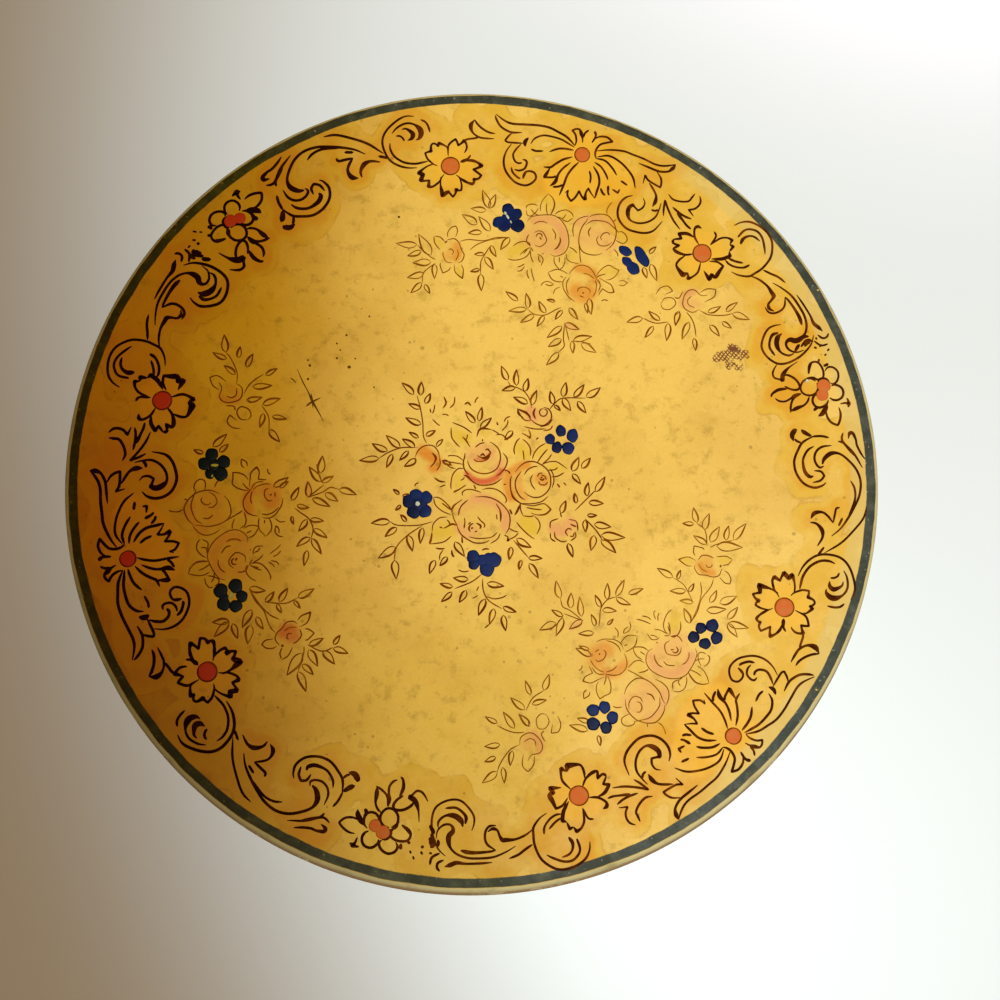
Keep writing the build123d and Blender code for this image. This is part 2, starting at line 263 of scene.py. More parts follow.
near_notched_flower = [
    [(-6.3, 83.8), (-6.5, 86), (-7.3, 86.8), (-8.7, 87.4, 1.6), (-8.9, 86.5), (-9.3, 87), (-10.1, 87.3),
     (-10.7, 86.7), (-10.7, 85.2, 1.6), (-11.5, 85), (-12.2, 84.7), (-11.7, 83.3), (-10.8, 82.3),
     (-9.9, 81.6), (-9, 81.3)],
    [(-6.3, 84), (-6.3, 85.7), (-6.2, 86.8), (-5.5, 87.7), (-4.4, 88.5), (-4, 87.7), (-3.7, 86.8), (-3, 87.3),
     (-2.2, 88.1, 1.6), (-1.7, 87.3), (-1.5, 86.3), (-1.8, 85.3), (-2.2, 84.8)],
    [(-0.5, 84.2), (-1.2, 83.2), (-2.3, 82.6, 1.6), (-3.2, 82.3)],
    [(-2.2, 88.1), (-1.2, 88.5), (0.3, 88.7), (1.7, 89)],
    [(-3.2, 82.3), (-1.8, 82.6), (-0.3, 82.7, 1.5), (1.2, 82.2), (2.3, 81.3, 1.7), (1.3, 80.7), (0.2, 80.3),
     (1.2, 79.5), (2.2, 78.7), (1.5, 77.8), (0.3, 77.6, 1.4), (0.4, 77), (-0.1, 76.4, 1.4), (-1.2, 76.7),
     (-2.3, 77.3, 1.4), (-3.2, 78), (-4.2, 78.8)],
    [(-7.3, 79), (-8.1, 77.7), (-8.2, 76), (-7.9, 74.5, 1.8), (-7.7, 73.2, 2), (-7, 73.8, 2),
     (-6.2, 74.3, 1.5), (-5.7, 73.7), (-5, 72.9), (-4.4, 73.8), (-4.2, 74.9, 1.8), (-3.5, 74.6), (-2.9, 74.7),
     (-2.8, 76), (-3.2, 77.7), (-3.8, 78.5)],
    [(-10.2, 81.7, 1.6), (-11.5, 81.2), (-12.8, 80.3), (-13.8, 79.3, 1.8), (-12.7, 78.9, 1.8),
     (-13.3, 77.3, 1.8), (-12.3, 77.2), (-11.1, 77.3), (-11.3, 75.7, 1.6), (-10.3, 75.6), (-9, 76.5),
     (-8.3, 77.3), (-8.1, 78.3)],
]
first_leaf = [
    [(0.5, 93.8), (-0.5, 92.2, 2.1), (0, 90.3), (1.7, 89), (3.5, 88.7), (5.6, 88.6)],
    [(0.5, 93.8), (1.3, 92.5), (2.7, 91.2), (4.3, 90.3), (5.8, 90)],
]
first_tendril = [
    [(6, 95.3), (8.3, 93.5), (10.3, 92.7), (13.3, 92.5), (16.7, 92.3), (19.7, 91.7), (22, 90.5), (24, 89.3),
     (25.3, 88), (26.3, 86.7)],
    [(5.8, 95), (6.2, 93.7), (7.2, 92), (8.7, 90.9), (10.3, 90.3), (12.7, 90.3)],
    [(10.3, 90.3), (9.2, 89.3), (8.4, 88.2), (9, 87.7), (11, 87.5), (13, 87.4)],
    [(14.4, 88.9), (13.5, 87.8, 1.8), (13.5, 86.5)],
    [(14.9, 87.2), (16, 88.7), (18, 89.5), (20, 89.3), (22.7, 88.5), (24.7, 87.3), (26.2, 86.3)],
    [(15, 85.8), (16.3, 85.3), (18.2, 85.3)],
]
first_spiral = [
    [(10, 87.2), (8.7, 85.3), (8, 83), (8.2, 80.7), (9.2, 78.7), (11, 76.8), (13.3, 76), (15, 76.5),
     (16.2, 77.8), (16, 79.2), (15, 79.8), (13.8, 79.7), (13.2, 78.8, 1.8), (12.9, 77.8, 1.6)],
    [(9.9, 80.9), (10.3, 79.5), (11.5, 78.2), (12.3, 77.8)],
    [(12.5, 87.2), (11.2, 85.8), (10.4, 84.3), (10.8, 82.7), (11.7, 82), (12.7, 82.1, 1.6)],
    [(12.8, 83), (13.7, 82.7), (13.9, 81.8), (13.3, 80.5), (12, 80), (10.7, 80.3)],
]
palmette = [
    [(26, 85.5), (24, 85.9), (22, 85.9), (19.7, 85.1)],
    [(25.7, 83.7), (23.3, 83), (21.3, 81.8), (20, 80.9), (18.2, 81)],
    [(20, 80.9), (18.7, 78.7, 1.6), (18.2, 78.2), (20.7, 78.2), (21.3, 78.7)],
    [(25.2, 82.2), (23.3, 80.7), (22, 79), (21.2, 77, 1.7), (19.8, 75.8)],
    [(20.5, 75.6), (22, 75.7), (23.2, 76.2)],
    [(27.3, 82.3), (25.7, 80.7), (24.3, 78.7), (23.3, 76), (22.2, 73.3)],
    [(23.7, 74), (24.5, 74.7), (24.3, 73.3), (25.2, 71.8), (26.3, 72.8), (27.3, 74.5), (28, 73),
     (28.8, 72.3, 1.8), (29, 74), (29.7, 75.2), (30.3, 74), (31.3, 72.5)],
    [(30, 80), (30.3, 78.3), (30.1, 76.5)],
    [(31, 81.2), (32.2, 79), (32.5, 76.7), (31.8, 74.3), (31.3, 72.5)],
    [(31.3, 82.3), (33, 81), (34.2, 79), (34.7, 77.5)],
    [(32.8, 75.3), (33.3, 74), (34, 73.3)],
    [(34.8, 76, 1.6), (34.7, 74.3), (35, 73.3)],
    [(31.7, 83.3), (34, 82.7), (35.8, 80.8), (37, 78.7)],
    [(35.8, 75), (37.2, 74), (37.7, 75)],
    [(38, 77.3), (39.7, 76)],
    [(32, 83.7), (35, 84), (37.7, 82.5), (39.8, 80.3), (41.2, 78), (41.7, 75.2)],
    [(26.3, 86.7), (26.7, 88), (26.5, 89.7), (25.7, 90.9), (26.7, 91.3), (27.6, 91.1), (28, 90, 1.8),
     (28.3, 88.7), (28.3, 87.5)],
    [(28.5, 89), (29, 90.2), (30, 91)],
    [(31.5, 90.7, 1.6), (31.7, 89.3), (30.7, 87.5)],
    [(31, 88.3), (32.7, 89.2), (34.7, 89), (36, 87.8), (34.3, 87.5), (32.8, 87), (31.8, 85.7), (31.5, 84.3),
     (31.8, 83.2)],
]
second_tendril = [
    [(31.8, 85.3), (35, 85.6), (38.7, 85.3), (41.3, 84.3), (44, 83.2), (46.7, 81.8), (48.7, 81.3),
     (50.7, 81.4), (52.2, 81.7)],
    [(52.2, 81.7), (51.5, 80.7, 1.7), (50.3, 79.8), (48.7, 79.7), (47.3, 80), (45, 81), (42.7, 82)],
    [(47.3, 79.8), (48.3, 78), (48.4, 76.5), (48.1, 75.5), (46.7, 76.3), (45, 77.5), (44.3, 78.8),
     (43.7, 76.5)],
    [(45.3, 76.7), (46.3, 75), (47, 73.3), (46.8, 71.7, 1.7), (46, 70.3)],
]
second_spiral = [
    [(41, 73.3), (39.3, 72.8), (37.8, 71.3), (37.1, 69), (37.5, 66.7), (39.3, 64.5), (42, 63.5), (44.3, 63.3),
     (46.3, 64), (48.5, 66.4)],
    [(43.7, 72.6), (44.1, 71.3), (43.5, 70), (42.3, 69.3), (41.5, 70.2), (41, 70.8, 1.6), (40, 70, 2),
     (39.7, 68.3, 2), (40.3, 66.7), (42.3, 65.9), (44.7, 66.2), (46.7, 67.5), (47.7, 69.5), (48.3, 71.3)],
    [(45.7, 69.5), (46.7, 69.2), (47.5, 69.5)],
    [(48.8, 67.8), (48.9, 69.7), (49.3, 72), (50, 69.7), (51.3, 66.7), (53, 64.2)],
]
second_leaf = [
    [(50.2, 73.7), (51.3, 72.3), (53.3, 71.7), (55.3, 71.8), (56.2, 72.8), (57, 73.8)],
    [(58.2, 73.2), (58.4, 71.7), (57.8, 70.5), (56.7, 69.7), (55.3, 69.5), (56.5, 67.7)],
    [(51.2, 70.2), (52.7, 68.8), (54.3, 67.7), (56, 67)],
    [(52.3, 68.7, 1.7), (53.7, 66.7), (54.7, 65.3), (55.8, 64.3)],
]
far_notched_flower = [
    [(57.7, 60.2), (56.7, 62.2), (56.7, 64.3), (57.5, 65, 1.5), (58.5, 64.5)],
    [(61.7, 63.7), (62.1, 62.3), (60.6, 60)],
    [(56.7, 62), (54.8, 63.1, 1.5), (52.7, 63.1, 1.5), (53.3, 61.8), (51.2, 61.6, 1.5)],
    [(51.2, 61.6, 1.5), (51.2, 60.6), (52.7, 60), (51, 59.1, 1.5)],
    [(51, 59.1, 1.5), (52.3, 58.1, 1.5), (54.2, 57.5), (56.2, 57.7)],
    [(54.2, 57.3), (52.5, 56), (51.9, 54.5), (53.5, 52.2, 2.4), (54.8, 52.7, 1.5)],
    [(54.8, 52.7), (54.8, 51.2, 1.8), (55.8, 51.6), (57.3, 52.9), (58.1, 55.6)],
    [(60.2, 55.8), (62.3, 55.6), (63.8, 54.5), (62.5, 52.7, 1.8), (61.7, 51.2, 2.2)],
    [(61.7, 51.2, 2.2), (60.8, 52.3, 1.5), (60.2, 51, 2), (58.8, 53.3)],
    [(60.8, 60.2), (63.1, 61.8), (65, 62), (66.2, 61.4, 1.5), (65.6, 60.2)],
    [(65.6, 60.2), (66.5, 59.7, 1.4), (65.4, 58.3)],
    [(65.4, 58.3), (65.6, 57.2, 1.5), (63.5, 56.4, 1.5), (60.8, 56.4)],
]
upper_right_scroll = [
    [(66.8, 65.3), (68.5, 66.1), (70.6, 66.3), (72.7, 65.5), (74.8, 63.9), (76.2, 61.6), (76.4, 59.1),
     (75.8, 56.6), (73.9, 54.1), (71.8, 52.6), (70.2, 51.8), (67.7, 52.1), (65.8, 53)],
    [(67.7, 62.2, 1.9), (69.3, 63.9), (70.8, 64.3), (72.7, 63.7), (73.9, 62), (74.4, 59.5), (74.5, 57.6)],
    [(68.3, 60.3, 1.9), (69.1, 61.8, 1.5), (70.6, 62.5), (72, 62.2), (73.3, 61.1)],
    [(64.3, 56.2), (65.2, 55.1), (66.8, 54.3), (68.9, 54.1), (70.5, 54.8, 1.7)],
    [(65.1, 56.6), (66.8, 55.8), (68.9, 55.3)],
]
third_tendril = [
    [(73.9, 53.5), (75.6, 52.6), (77.7, 51.6), (79.5, 50.1)],
    [(70.4, 52), (72.7, 51), (74.8, 49.3), (76, 47.4, 1.7), (76.4, 46.6, 1.7), (75.8, 45.5), (75, 44.5),
     (75.2, 43.3, 1.5), (76.4, 42.6)],
    [(74.1, 43.7), (75, 42.4), (76.4, 42.1), (78.1, 42.8), (79.1, 44.1), (79.3, 46.4)],
    [(76.2, 50.1), (78.5, 48.7), (81, 46.6), (82.9, 43.7), (84.1, 41.2), (84.5, 38.7), (84, 36.7),
     (82.8, 35.4, 2), (81.5, 34.9, 2.2), (80.3, 35.2, 1.9), (79.4, 34.7, 1.3), (79.2, 33.7), (80, 32.5),
     (81.8, 31.9), (83.7, 32.5)],
    [(79.3, 46.4), (80.3, 45.2), (81.8, 42.9, 1.3), (82.8, 40.9, 1.6), (83.3, 39, 1.8)],
    [(82.2, 47), (83.8, 44.5), (85.5, 41.5), (86.3, 39.5, 1.6), (87.5, 38.4, 1.8), (88.5, 37.4)],
]
middle_right_scroll = [
    [(78, 39.1), (76.5, 38.9), (75, 38.2), (74, 36.9), (73.2, 34.9), (73, 33.2), (73.7, 31.5), (75.2, 29.9),
     (77.2, 28.9), (79.6, 29.2), (82.3, 30.6), (84.2, 32.3), (85.6, 34.2), (86.2, 36.4)],
    [(77.3, 37, 1.7), (75.8, 36.4, 1.3), (75.1, 34.9), (75, 33.2), (75.7, 31.9), (76.3, 31)],
    [(78.2, 36.8, 1.3), (77.2, 35.9, 2.1), (76.8, 34.5, 2.2), (77, 33.2, 1.9), (77.7, 32), (78.8, 31.3),
     (80, 31.1), (81.2, 31.7)],
    [(87.2, 36.5), (88.4, 35.6), (89.5, 35.9), (90, 36.9)],
    [(86.2, 34.9), (88, 33.7), (89.8, 34.1)],
]
third_leaf = [
    [(76.8, 28.9), (75.9, 27.4), (75.6, 26.3), (76, 25.3), (77.2, 24.9), (78, 24.7, 2.2), (78.1, 25.9, 2.1),
     (78.7, 26.9, 1.8), (79.9, 28.1), (82, 29.5)],
    [(77.9, 25.8), (79.3, 26), (80.9, 25.2), (81.9, 24.1), (82.3, 22.9), (81.6, 22.2), (80.1, 22.3),
     (78.5, 23.1, 1.5)],
    [(79.5, 22.5), (77, 22.2, 1.4), (75.4, 21.2), (75, 20.3)],
    [(76, 20), (77, 19.3), (78.5, 19.2), (80, 20), (80.8, 20.8), (82.6, 21.2, 1.5)],
    [(82.6, 21.2, 1.5), (81.1, 20.6, 1.6), (80.3, 19.4), (79.9, 17.9), (79.8, 16.3)],
    [(79.9, 16.7, 1.6), (81.5, 17.5, 1.8), (83.2, 18.2), (84.2, 19.3), (84.6, 20.5)],
]
round_petalled_flower = [
    [(84.6, 26.3, 2), (84.9, 28.2, 1.8), (85.6, 29.3), (87, 29.3), (88, 28), (88.4, 26.4), (88, 25),
     (86.6, 24.9), (85.6, 25.3, 1.5), (84.1, 25.3)],
    [(87.4, 30.2), (87.2, 29.4)],
    [(88.4, 28.3), (89.7, 28.9, 1.4)],
    [(88.7, 27), (89.5, 28), (90.8, 28), (91.9, 27), (92.1, 25.6), (91.6, 24.3), (90.7, 23.7), (90, 24)],
    [(90.2, 23.2), (91.2, 23.5), (92.6, 22.9), (93.2, 21.7), (92.9, 20.4), (91.8, 19.6), (90.6, 19.6),
     (89.7, 20.2)],
    [(86.4, 24.4), (84.8, 25.1), (83.2, 24.4), (82.5, 22.9), (82.8, 21.6), (83.8, 20.9), (85.2, 20.8),
     (86.4, 21.5), (86.9, 22.8), (86.6, 24)],
    [(86.9, 21.1), (85.9, 20.7), (85.4, 19.6), (85.7, 18.4), (86.6, 17.7), (87.8, 17.8), (88.9, 18.5),
     (89.4, 19.6)],
    [(85.6, 16.8, 1.5), (86.5, 17.6, 1.5), (87.7, 17.5)],
    [(86.7, 15.4), (87.8, 16.1, 2.2), (88.6, 17.4, 2.2), (89.1, 18.8)],
    [(88.7, 17.2), (88.9, 15.4), (89.8, 13.9), (91.2, 13.2), (91.7, 13.4), (92.2, 14.8), (92.3, 16.3),
     (91.9, 17.7)],
    [(92.3, 18.6), (93.6, 18.8), (94.5, 18.6, 2), (94.3, 19.5), (94, 20.1)],
    [(94.5, 18.6), (94.3, 17.7)],
    [(86.8, 24.3), (87.6, 25.1), (89, 25), (89.9, 23.9)],
]
lower_right_scroll = [
    [(80.3, 9), (80, 10.5, 2), (80.6, 11.6, 2), (81.3, 12)],
    [(82.3, 12), (83, 11.3, 2), (84.2, 10.6, 1.6), (84.9, 10.3)],
    [(84.9, 10.2), (87.3, 10.3), (89.2, 9.9)],
    [(80.6, 9.6), (81.2, 9), (82.2, 8.6)],
    [(85.6, 10.3), (83.8, 9.5), (82.3, 8.4), (81.3, 6.6), (80.6, 5), (80.3, 3.3), (80.8, 0.8), (82.5, -1.7),
     (85, -2.8), (87.1, -2.3), (88.1, -1.5)],
    [(85.4, 7.7), (84, 6.9), (83, 5.5), (82.5, 3.8), (82.9, 1.3, 1.5), (84, 0, 1.5), (85, 0.1, 1.5)],
    [(85.2, 1.5), (86.9, 1.3), (87.7, 0.2), (86.7, -1), (84.8, -1.5)],
    [(89.8, 7.9), (87.5, 7.6), (86, 6.5), (85.4, 4.8), (85.8, 3.2), (86.7, 2.3), (87.7, 2.7)],
    [(87.3, 3.1, 1.8), (87.9, 4.6, 2.1), (89.6, 5.9, 1.8), (91.7, 5.8), (93.8, 4.2), (95.8, 1.7),
     (96.7, -1.3), (96.3, -4.6), (95, -7.5), (93.3, -10.4), (91.3, -13.1), (89, -15)],
    [(94.2, -1), (95.1, -2.9), (95.2, -5.4), (94.2, -8.3), (93.3, -10.2)],
    [(98, -7.5), (97.1, -10.4), (94.6, -13.5), (91.3, -16.7), (87.1, -19.2)],
    [(91.4, 9), (92.7, 8.6), (94, 7), (95.7, 5)],
    [(92.8, 11.2), (92.4, 9.8), (92.9, 8.5), (95.2, 6), (97.3, 2.2)],
    [(94, 9.6), (94.4, 11, 1.6), (95.2, 11, 1.5), (95.9, 9.4), (96.1, 8), (97, 6), (98, 4.4)],
]
fourth_leaf = [
    [(84, -10.6), (85, -9.2, 1.7), (86.9, -9), (88.3, -10), (89.5, -11.7)],
    [(89.5, -11.7), (90, -9.6), (90.4, -8.1), (91.3, -7.8)],
    [(83.8, -11.5), (85.4, -11.9), (86.7, -13.5, 1.7), (86.7, -15.4), (85.4, -17.5)],
    [(91.9, -10.4), (90.8, -12.5)],
    [(87.1, -17.7), (85.4, -19.8)],
]
smudges = [
    [(81.3, 32, 1.2), (82, 33.2, 1.6), (82.6, 34, 1.2)],
    [(82.9, 33.3, 1.4), (83.6, 34.2, 1.3), (84.2, 34.8, 1.7), (85, 35, 1.8), (85.8, 34.8, 1.2)],
    [(83.8, 33.4), (84.5, 34.2, 1.3), (85.3, 34.6, 1.2)],
    [(83.2, 35.4), (84.1, 36, 1.3), (85, 36)],
    [(87.6, 33.8, 1.4), (88.1, 33.5, 1.4)],
    [(89.6, 32.7, 1.4), (90, 32.4, 1.3)],
    [(86.2, 33.3), (86.9, 32.9)],
    [(86.6, 35.4), (87.1, 35.6, 1.3)],
    [(88.8, 31.4), (89.2, 31.1, 1.2)],
]
long_scrolls = (
    left_scroll + first_leaf + first_tendril + first_spiral + second_tendril + second_spiral + second_leaf
    + upper_right_scroll + third_tendril + middle_right_scroll
)
short_scrolls = third_leaf + lower_right_scroll + fourth_leaf + smudges
long_flowers = near_notched_flower + palmette + far_notched_flower
long_hearts = [(-5.7, 81.2, 2.35), (28.2, 84.3, 1.95), (58.5, 57.9, 2.35)]
short_hearts = [(88.3, 23.3, 1.75), (87.9, 20.9, 1.55)]

# The rose sprays, printed in thin brown outline. One spray is used three times round the lid, and
# a larger one fills the middle. A leaf is given by its base and tip.
spray_strokes = [
    [(14, 66.3), (14.8, 67.4), (16.4, 67.9), (18.5, 68.1), (20.6, 68), (22.1, 67.2), (23.1, 66.1), (24, 64.4),
     (24.5, 62.2), (24.5, 60.1), (23.7, 58.3), (22.4, 57.4), (21, 57.1), (19.8, 57.6)],
    [(15.6, 65.6), (16.7, 66.2), (18.1, 66.3), (19.2, 65.8)],
    [(22.3, 62.2), (22.4, 61, 1.4), (21.7, 59.5, 1.4), (20.8, 58.8)],
    [(20.3, 64.5), (21.2, 62.9), (21, 61.5)],
    [(15.6, 63.3), (16.7, 63.8), (17.8, 63.6), (18.5, 62.6), (18.9, 61.3), (18.3, 60.3), (17.1, 59.6),
     (15.8, 60.1)],
    [(16.2, 62.2), (16.7, 63.1, 1.3), (17.6, 62.9, 1.4), (17.8, 62)],
    [(17.1, 62.2), (17.6, 61.5, 1.6)],
    [(14.4, 62.9), (13.9, 61.9), (13.9, 60.8), (14.8, 59.7)],
    [(14.9, 59.4), (15.5, 58.3)],
    [(25.8, 62.2), (25.6, 64), (26, 65.8), (27.1, 67), (28.5, 67.6), (29.8, 67.8)],
    [(29.6, 67.4), (29, 66.3), (28, 64.9), (27.4, 63.3), (27.1, 61.5), (27.3, 59.7), (28.1, 58.3),
     (29.6, 57.6), (31.4, 57.4), (33.1, 57.8)],
    [(29.8, 67.5), (31, 68.1), (32.8, 68.3), (34.6, 67.9), (35.8, 66.5), (36.4, 65.1), (36.7, 63.3),
     (36.2, 61.1), (35.3, 59.7), (33.9, 58.6)],
    [(28.9, 65.4), (30.6, 66.5), (32.8, 66.5), (34.6, 66), (36.4, 64.4), (37.4, 63.3)],
    [(30.3, 64.9), (29.6, 63.6, 1.3), (29.9, 62.2)],
    [(32.3, 62.6), (31.7, 61.7), (31.9, 60.6), (32.6, 59.9), (34.2, 59.9), (35.6, 60.8)],
    [(33, 61.3), (32.7, 62.2), (33.5, 63.2, 1.3), (34.6, 63.3), (35.1, 62.6)],
    [(37.1, 63.5), (38.1, 63.6), (39.2, 62.6), (39.4, 61.3), (38.5, 60.5), (37.4, 60.8), (36.4, 61.5)],
    [(34.4, 68.3), (34.4, 69.5), (35.1, 70.8), (35.8, 71.5)],
    [(36, 66.3), (36.7, 66.9)],
    [(36, 59), (36.9, 57.9), (37, 57)],
    [(24.6, 52.4), (25.5, 53.6), (26.7, 54.5), (28.1, 54.7), (29.6, 54.2), (30.6, 53.1), (31.2, 51.9),
     (31.5, 51.1)],
    [(31.5, 51.1), (32.3, 50.1), (32.4, 49), (31.9, 47.6)],
    [(31.2, 50.8), (31.5, 49.4), (31.2, 47.6), (30.5, 46.3)],
    [(23.9, 51.7), (23, 50.3), (23.1, 48.6), (23.7, 47.4), (24.6, 46.1), (26, 45.1)],
    [(24.8, 51.5), (24, 50.3), (23.9, 48.6), (24.4, 46.9)],
    [(28.1, 52.6), (29.6, 52.2), (31, 51.1)],
    [(26.7, 47.6), (26.9, 48.5), (27.8, 48.9), (28.9, 48.8), (29.8, 48.1), (29.8, 47.2)],
    [(27.9, 47.3, 1.5), (28.3, 47.5, 1.5)],
    [(27.1, 46.7), (28.3, 46.2)],
    [(23.9, 57.8), (24, 56.5), (24.9, 55.6), (26, 55.3), (27.1, 55.1)],
    [(24.6, 59.5), (25.6, 59), (26.7, 57.9)],
    [(27.1, 60.4), (27.3, 58.6), (27.4, 56.9), (27.6, 55.3, 1.5)],
    [(17.4, 69), (17.4, 70.6), (18.1, 72.2), (19.4, 73.8)],
    [(19.4, 73.8), (20.5, 72.6), (21, 71, 1.4), (20.6, 69.4, 1.4), (19.8, 67.9)],
    [(19.2, 67.9), (18.9, 69.7), (19, 71.3)],
    [(21, 68.2), (22.1, 69), (23.9, 69.4), (25.3, 68.6), (25.8, 67.5)],
    [(21.7, 67.6), (23.1, 67.2), (23.9, 68.3)],
    [(22.8, 67), (24.2, 66.3), (25.6, 67.2)],
    [(13.7, 69.7), (14, 70.6), (15.3, 71), (16.7, 70.6)],
    [(13.7, 69.4), (14, 68.1), (14.9, 67.8), (16, 68.6), (16.9, 69.9)],
    [(14.9, 69.7), (15.8, 68.5), (16.7, 68.1)],
    [(14.8, 59.7), (14.4, 60.6), (13.1, 61), (11.5, 60.6), (10.3, 59.7)],
    [(14.8, 59.2), (14.4, 57.8), (13.3, 56.7), (11.4, 56.1), (9.9, 56.1), (9, 56.5)],
    [(14.8, 59.5), (13.3, 58.6), (12.1, 57.4)],
    [(14, 58.9), (13, 57.8)],
    [(11.4, 54.2), (12.4, 54.5), (13.3, 55.1)],
    [(11.4, 53.1), (12.4, 53.3), (13.3, 54.4)],
    [(14, 53.5), (13.9, 52.4), (14.4, 51.1, 1.5)],
    [(14.9, 54), (15.3, 51.9), (15.8, 50.4)],
    [(14.8, 58.6), (14.9, 56.9), (15.5, 55.4)],
    [(16.5, 57.6), (17.4, 57.2), (18, 56.1), (17.4, 54.5)],
    [(16.9, 57.2), (16.9, 56.1), (17.4, 55.4)],
    [(17.8, 57.6), (18.1, 57.9)],
    [(20.8, 57), (20.8, 55.6), (21.4, 54.4), (22.1, 53.6)],
    [(23.5, 57), (23.5, 55.4), (22.8, 54), (22.1, 53.6)],
    [(22.1, 56.9), (22.1, 55.4)],
    [(31.5, 51.9), (32.3, 53.1), (33.5, 54.2), (34.8, 54.7), (36, 54), (37.3, 53.4), (36.4, 51.9), (35.1, 51),
     (33.9, 50.8)],
    [(31.5, 51.5), (32.4, 52), (33.9, 52.4)],
    [(32.3, 51.3), (33.9, 50.3), (35.3, 49.4), (35.9, 47.6, 1.5), (34.6, 47.5), (33, 48.5), (32.3, 47.4),
     (32, 46.7)],
    [(37.1, 50.4), (38.1, 50.7), (39.4, 50.1), (38.3, 49.3), (37.1, 49.5)],
    [(32.7, 45.3), (33.5, 45.6), (34.4, 45.3)],
    [(19.2, 52.9), (20.1, 51.1), (21.4, 50.4), (23, 50.3)],
    [(19.4, 52.9), (21.4, 53.6), (23.1, 53.1), (24.2, 52.4)],
    [(22.3, 51.9), (23.1, 51.4)],
    [(17.3, 49.2), (18, 50.1), (19.2, 50.4), (20.6, 49.7)],
    [(18.5, 49.7), (19.6, 49.3), (20.6, 49.6, 1.5)],
    [(20.5, 47), (21, 48.3), (22.3, 49)],
    [(-7.5, 58.3), (-7.4, 57.1), (-6.6, 55.6), (-5, 55.3)],
    [(-6.4, 61.4, 1.4), (-4.6, 61.7), (-3.4, 60.6), (-2.9, 59), (-2.1, 57.4), (-2.7, 55.8), (-3.6, 55.3)],
    [(-3.8, 58.9), (-3.6, 57.4), (-4.3, 55.8)],
    [(-6.1, 58.7), (-5.5, 59), (-4.8, 58.3), (-5.2, 57.4)],
    [(-7.1, 60.6, 1.6), (-6.5, 61, 1.6)],
    [(-6.3, 62.1), (-6.3, 63.3), (-5.5, 64.6), (-4.3, 65.1), (-3.8, 63.9), (-4.3, 62.1)],
    [(-9.8, 62.4), (-9.6, 60.6), (-8.2, 58.7)],
    [(-9.6, 62.4), (-8.2, 62.1), (-7.1, 61)],
    [(-8, 55.3), (-8.2, 54.6), (-7.5, 52.6), (-6.1, 53.3), (-5.5, 54.2)],
    [(-4.6, 54.9), (-4.3, 52.8), (-2.5, 51.2, 1.5), (-2.3, 53.5), (-2.9, 54.9)],
    [(-9.3, 55.3), (-12.3, 52.8), (-12.7, 50)],
    [(-14, 60), (-12.5, 58.5), (-10.5, 56.8), (-9.3, 56.2)],
    [(9.3, 62.1), (5, 61.5), (1.4, 60.3), (-0.7, 58.7)],
    [(4.6, 59.9), (2.9, 57.1), (2.1, 55.3), (2.1, 52.4)],
    [(9.3, 62.1), (6, 62), (2.8, 61.2), (-1, 61.5), (-3.2, 61)],
    [(57.5, 43.1), (55.8, 42.3), (54, 43.1), (53.3, 44.5), (53.8, 46.8), (55, 48.1), (56.5, 48.1),
     (57.9, 46.8), (59.6, 46.8, 1.5)],
    [(56.3, 43.5), (54.8, 44.3), (54.6, 45.6), (55.6, 46.6)],
    [(57.7, 47.5), (59.6, 48.5), (61.7, 48.3), (61.3, 46.4), (58.8, 45)],
    [(47.7, 44.5), (48.8, 46), (50.8, 46), (51.5, 44.5), (50, 43.1), (48.3, 43.3), (47.7, 44.5)],
    [(46.5, 47), (47.7, 48.7), (49.6, 49.2), (50.8, 47.9), (48.8, 47)],
    [(51.3, 46.2, 1.4), (52.4, 46.1), (53.4, 47.8)],
    [(52.6, 42.5), (51.4, 41.6), (51.2, 40), (51.7, 38.9)],
    [(49.6, 39.8), (46.2, 39.5), (43.1, 40.8)],
    [(57.5, 42.9), (59.5, 41.8), (62, 41.5), (64.2, 41.6), (65.8, 42)],
    [(54.2, 42.4), (55.5, 40.6), (56.2, 38.5), (56.5, 35.9)],
    [(23.4, 39.6), (23, 35.6), (23.2, 33.5), (21.8, 31.9)],
    [(23.4, 39.6), (24.5, 34.6)],
    [(24.9, 34.8), (27.6, 34.6), (30, 34)],
    [(13.8, 43.3), (15.7, 41.8), (18.4, 41.6), (20.8, 42.8), (22.5, 43.6)],
]
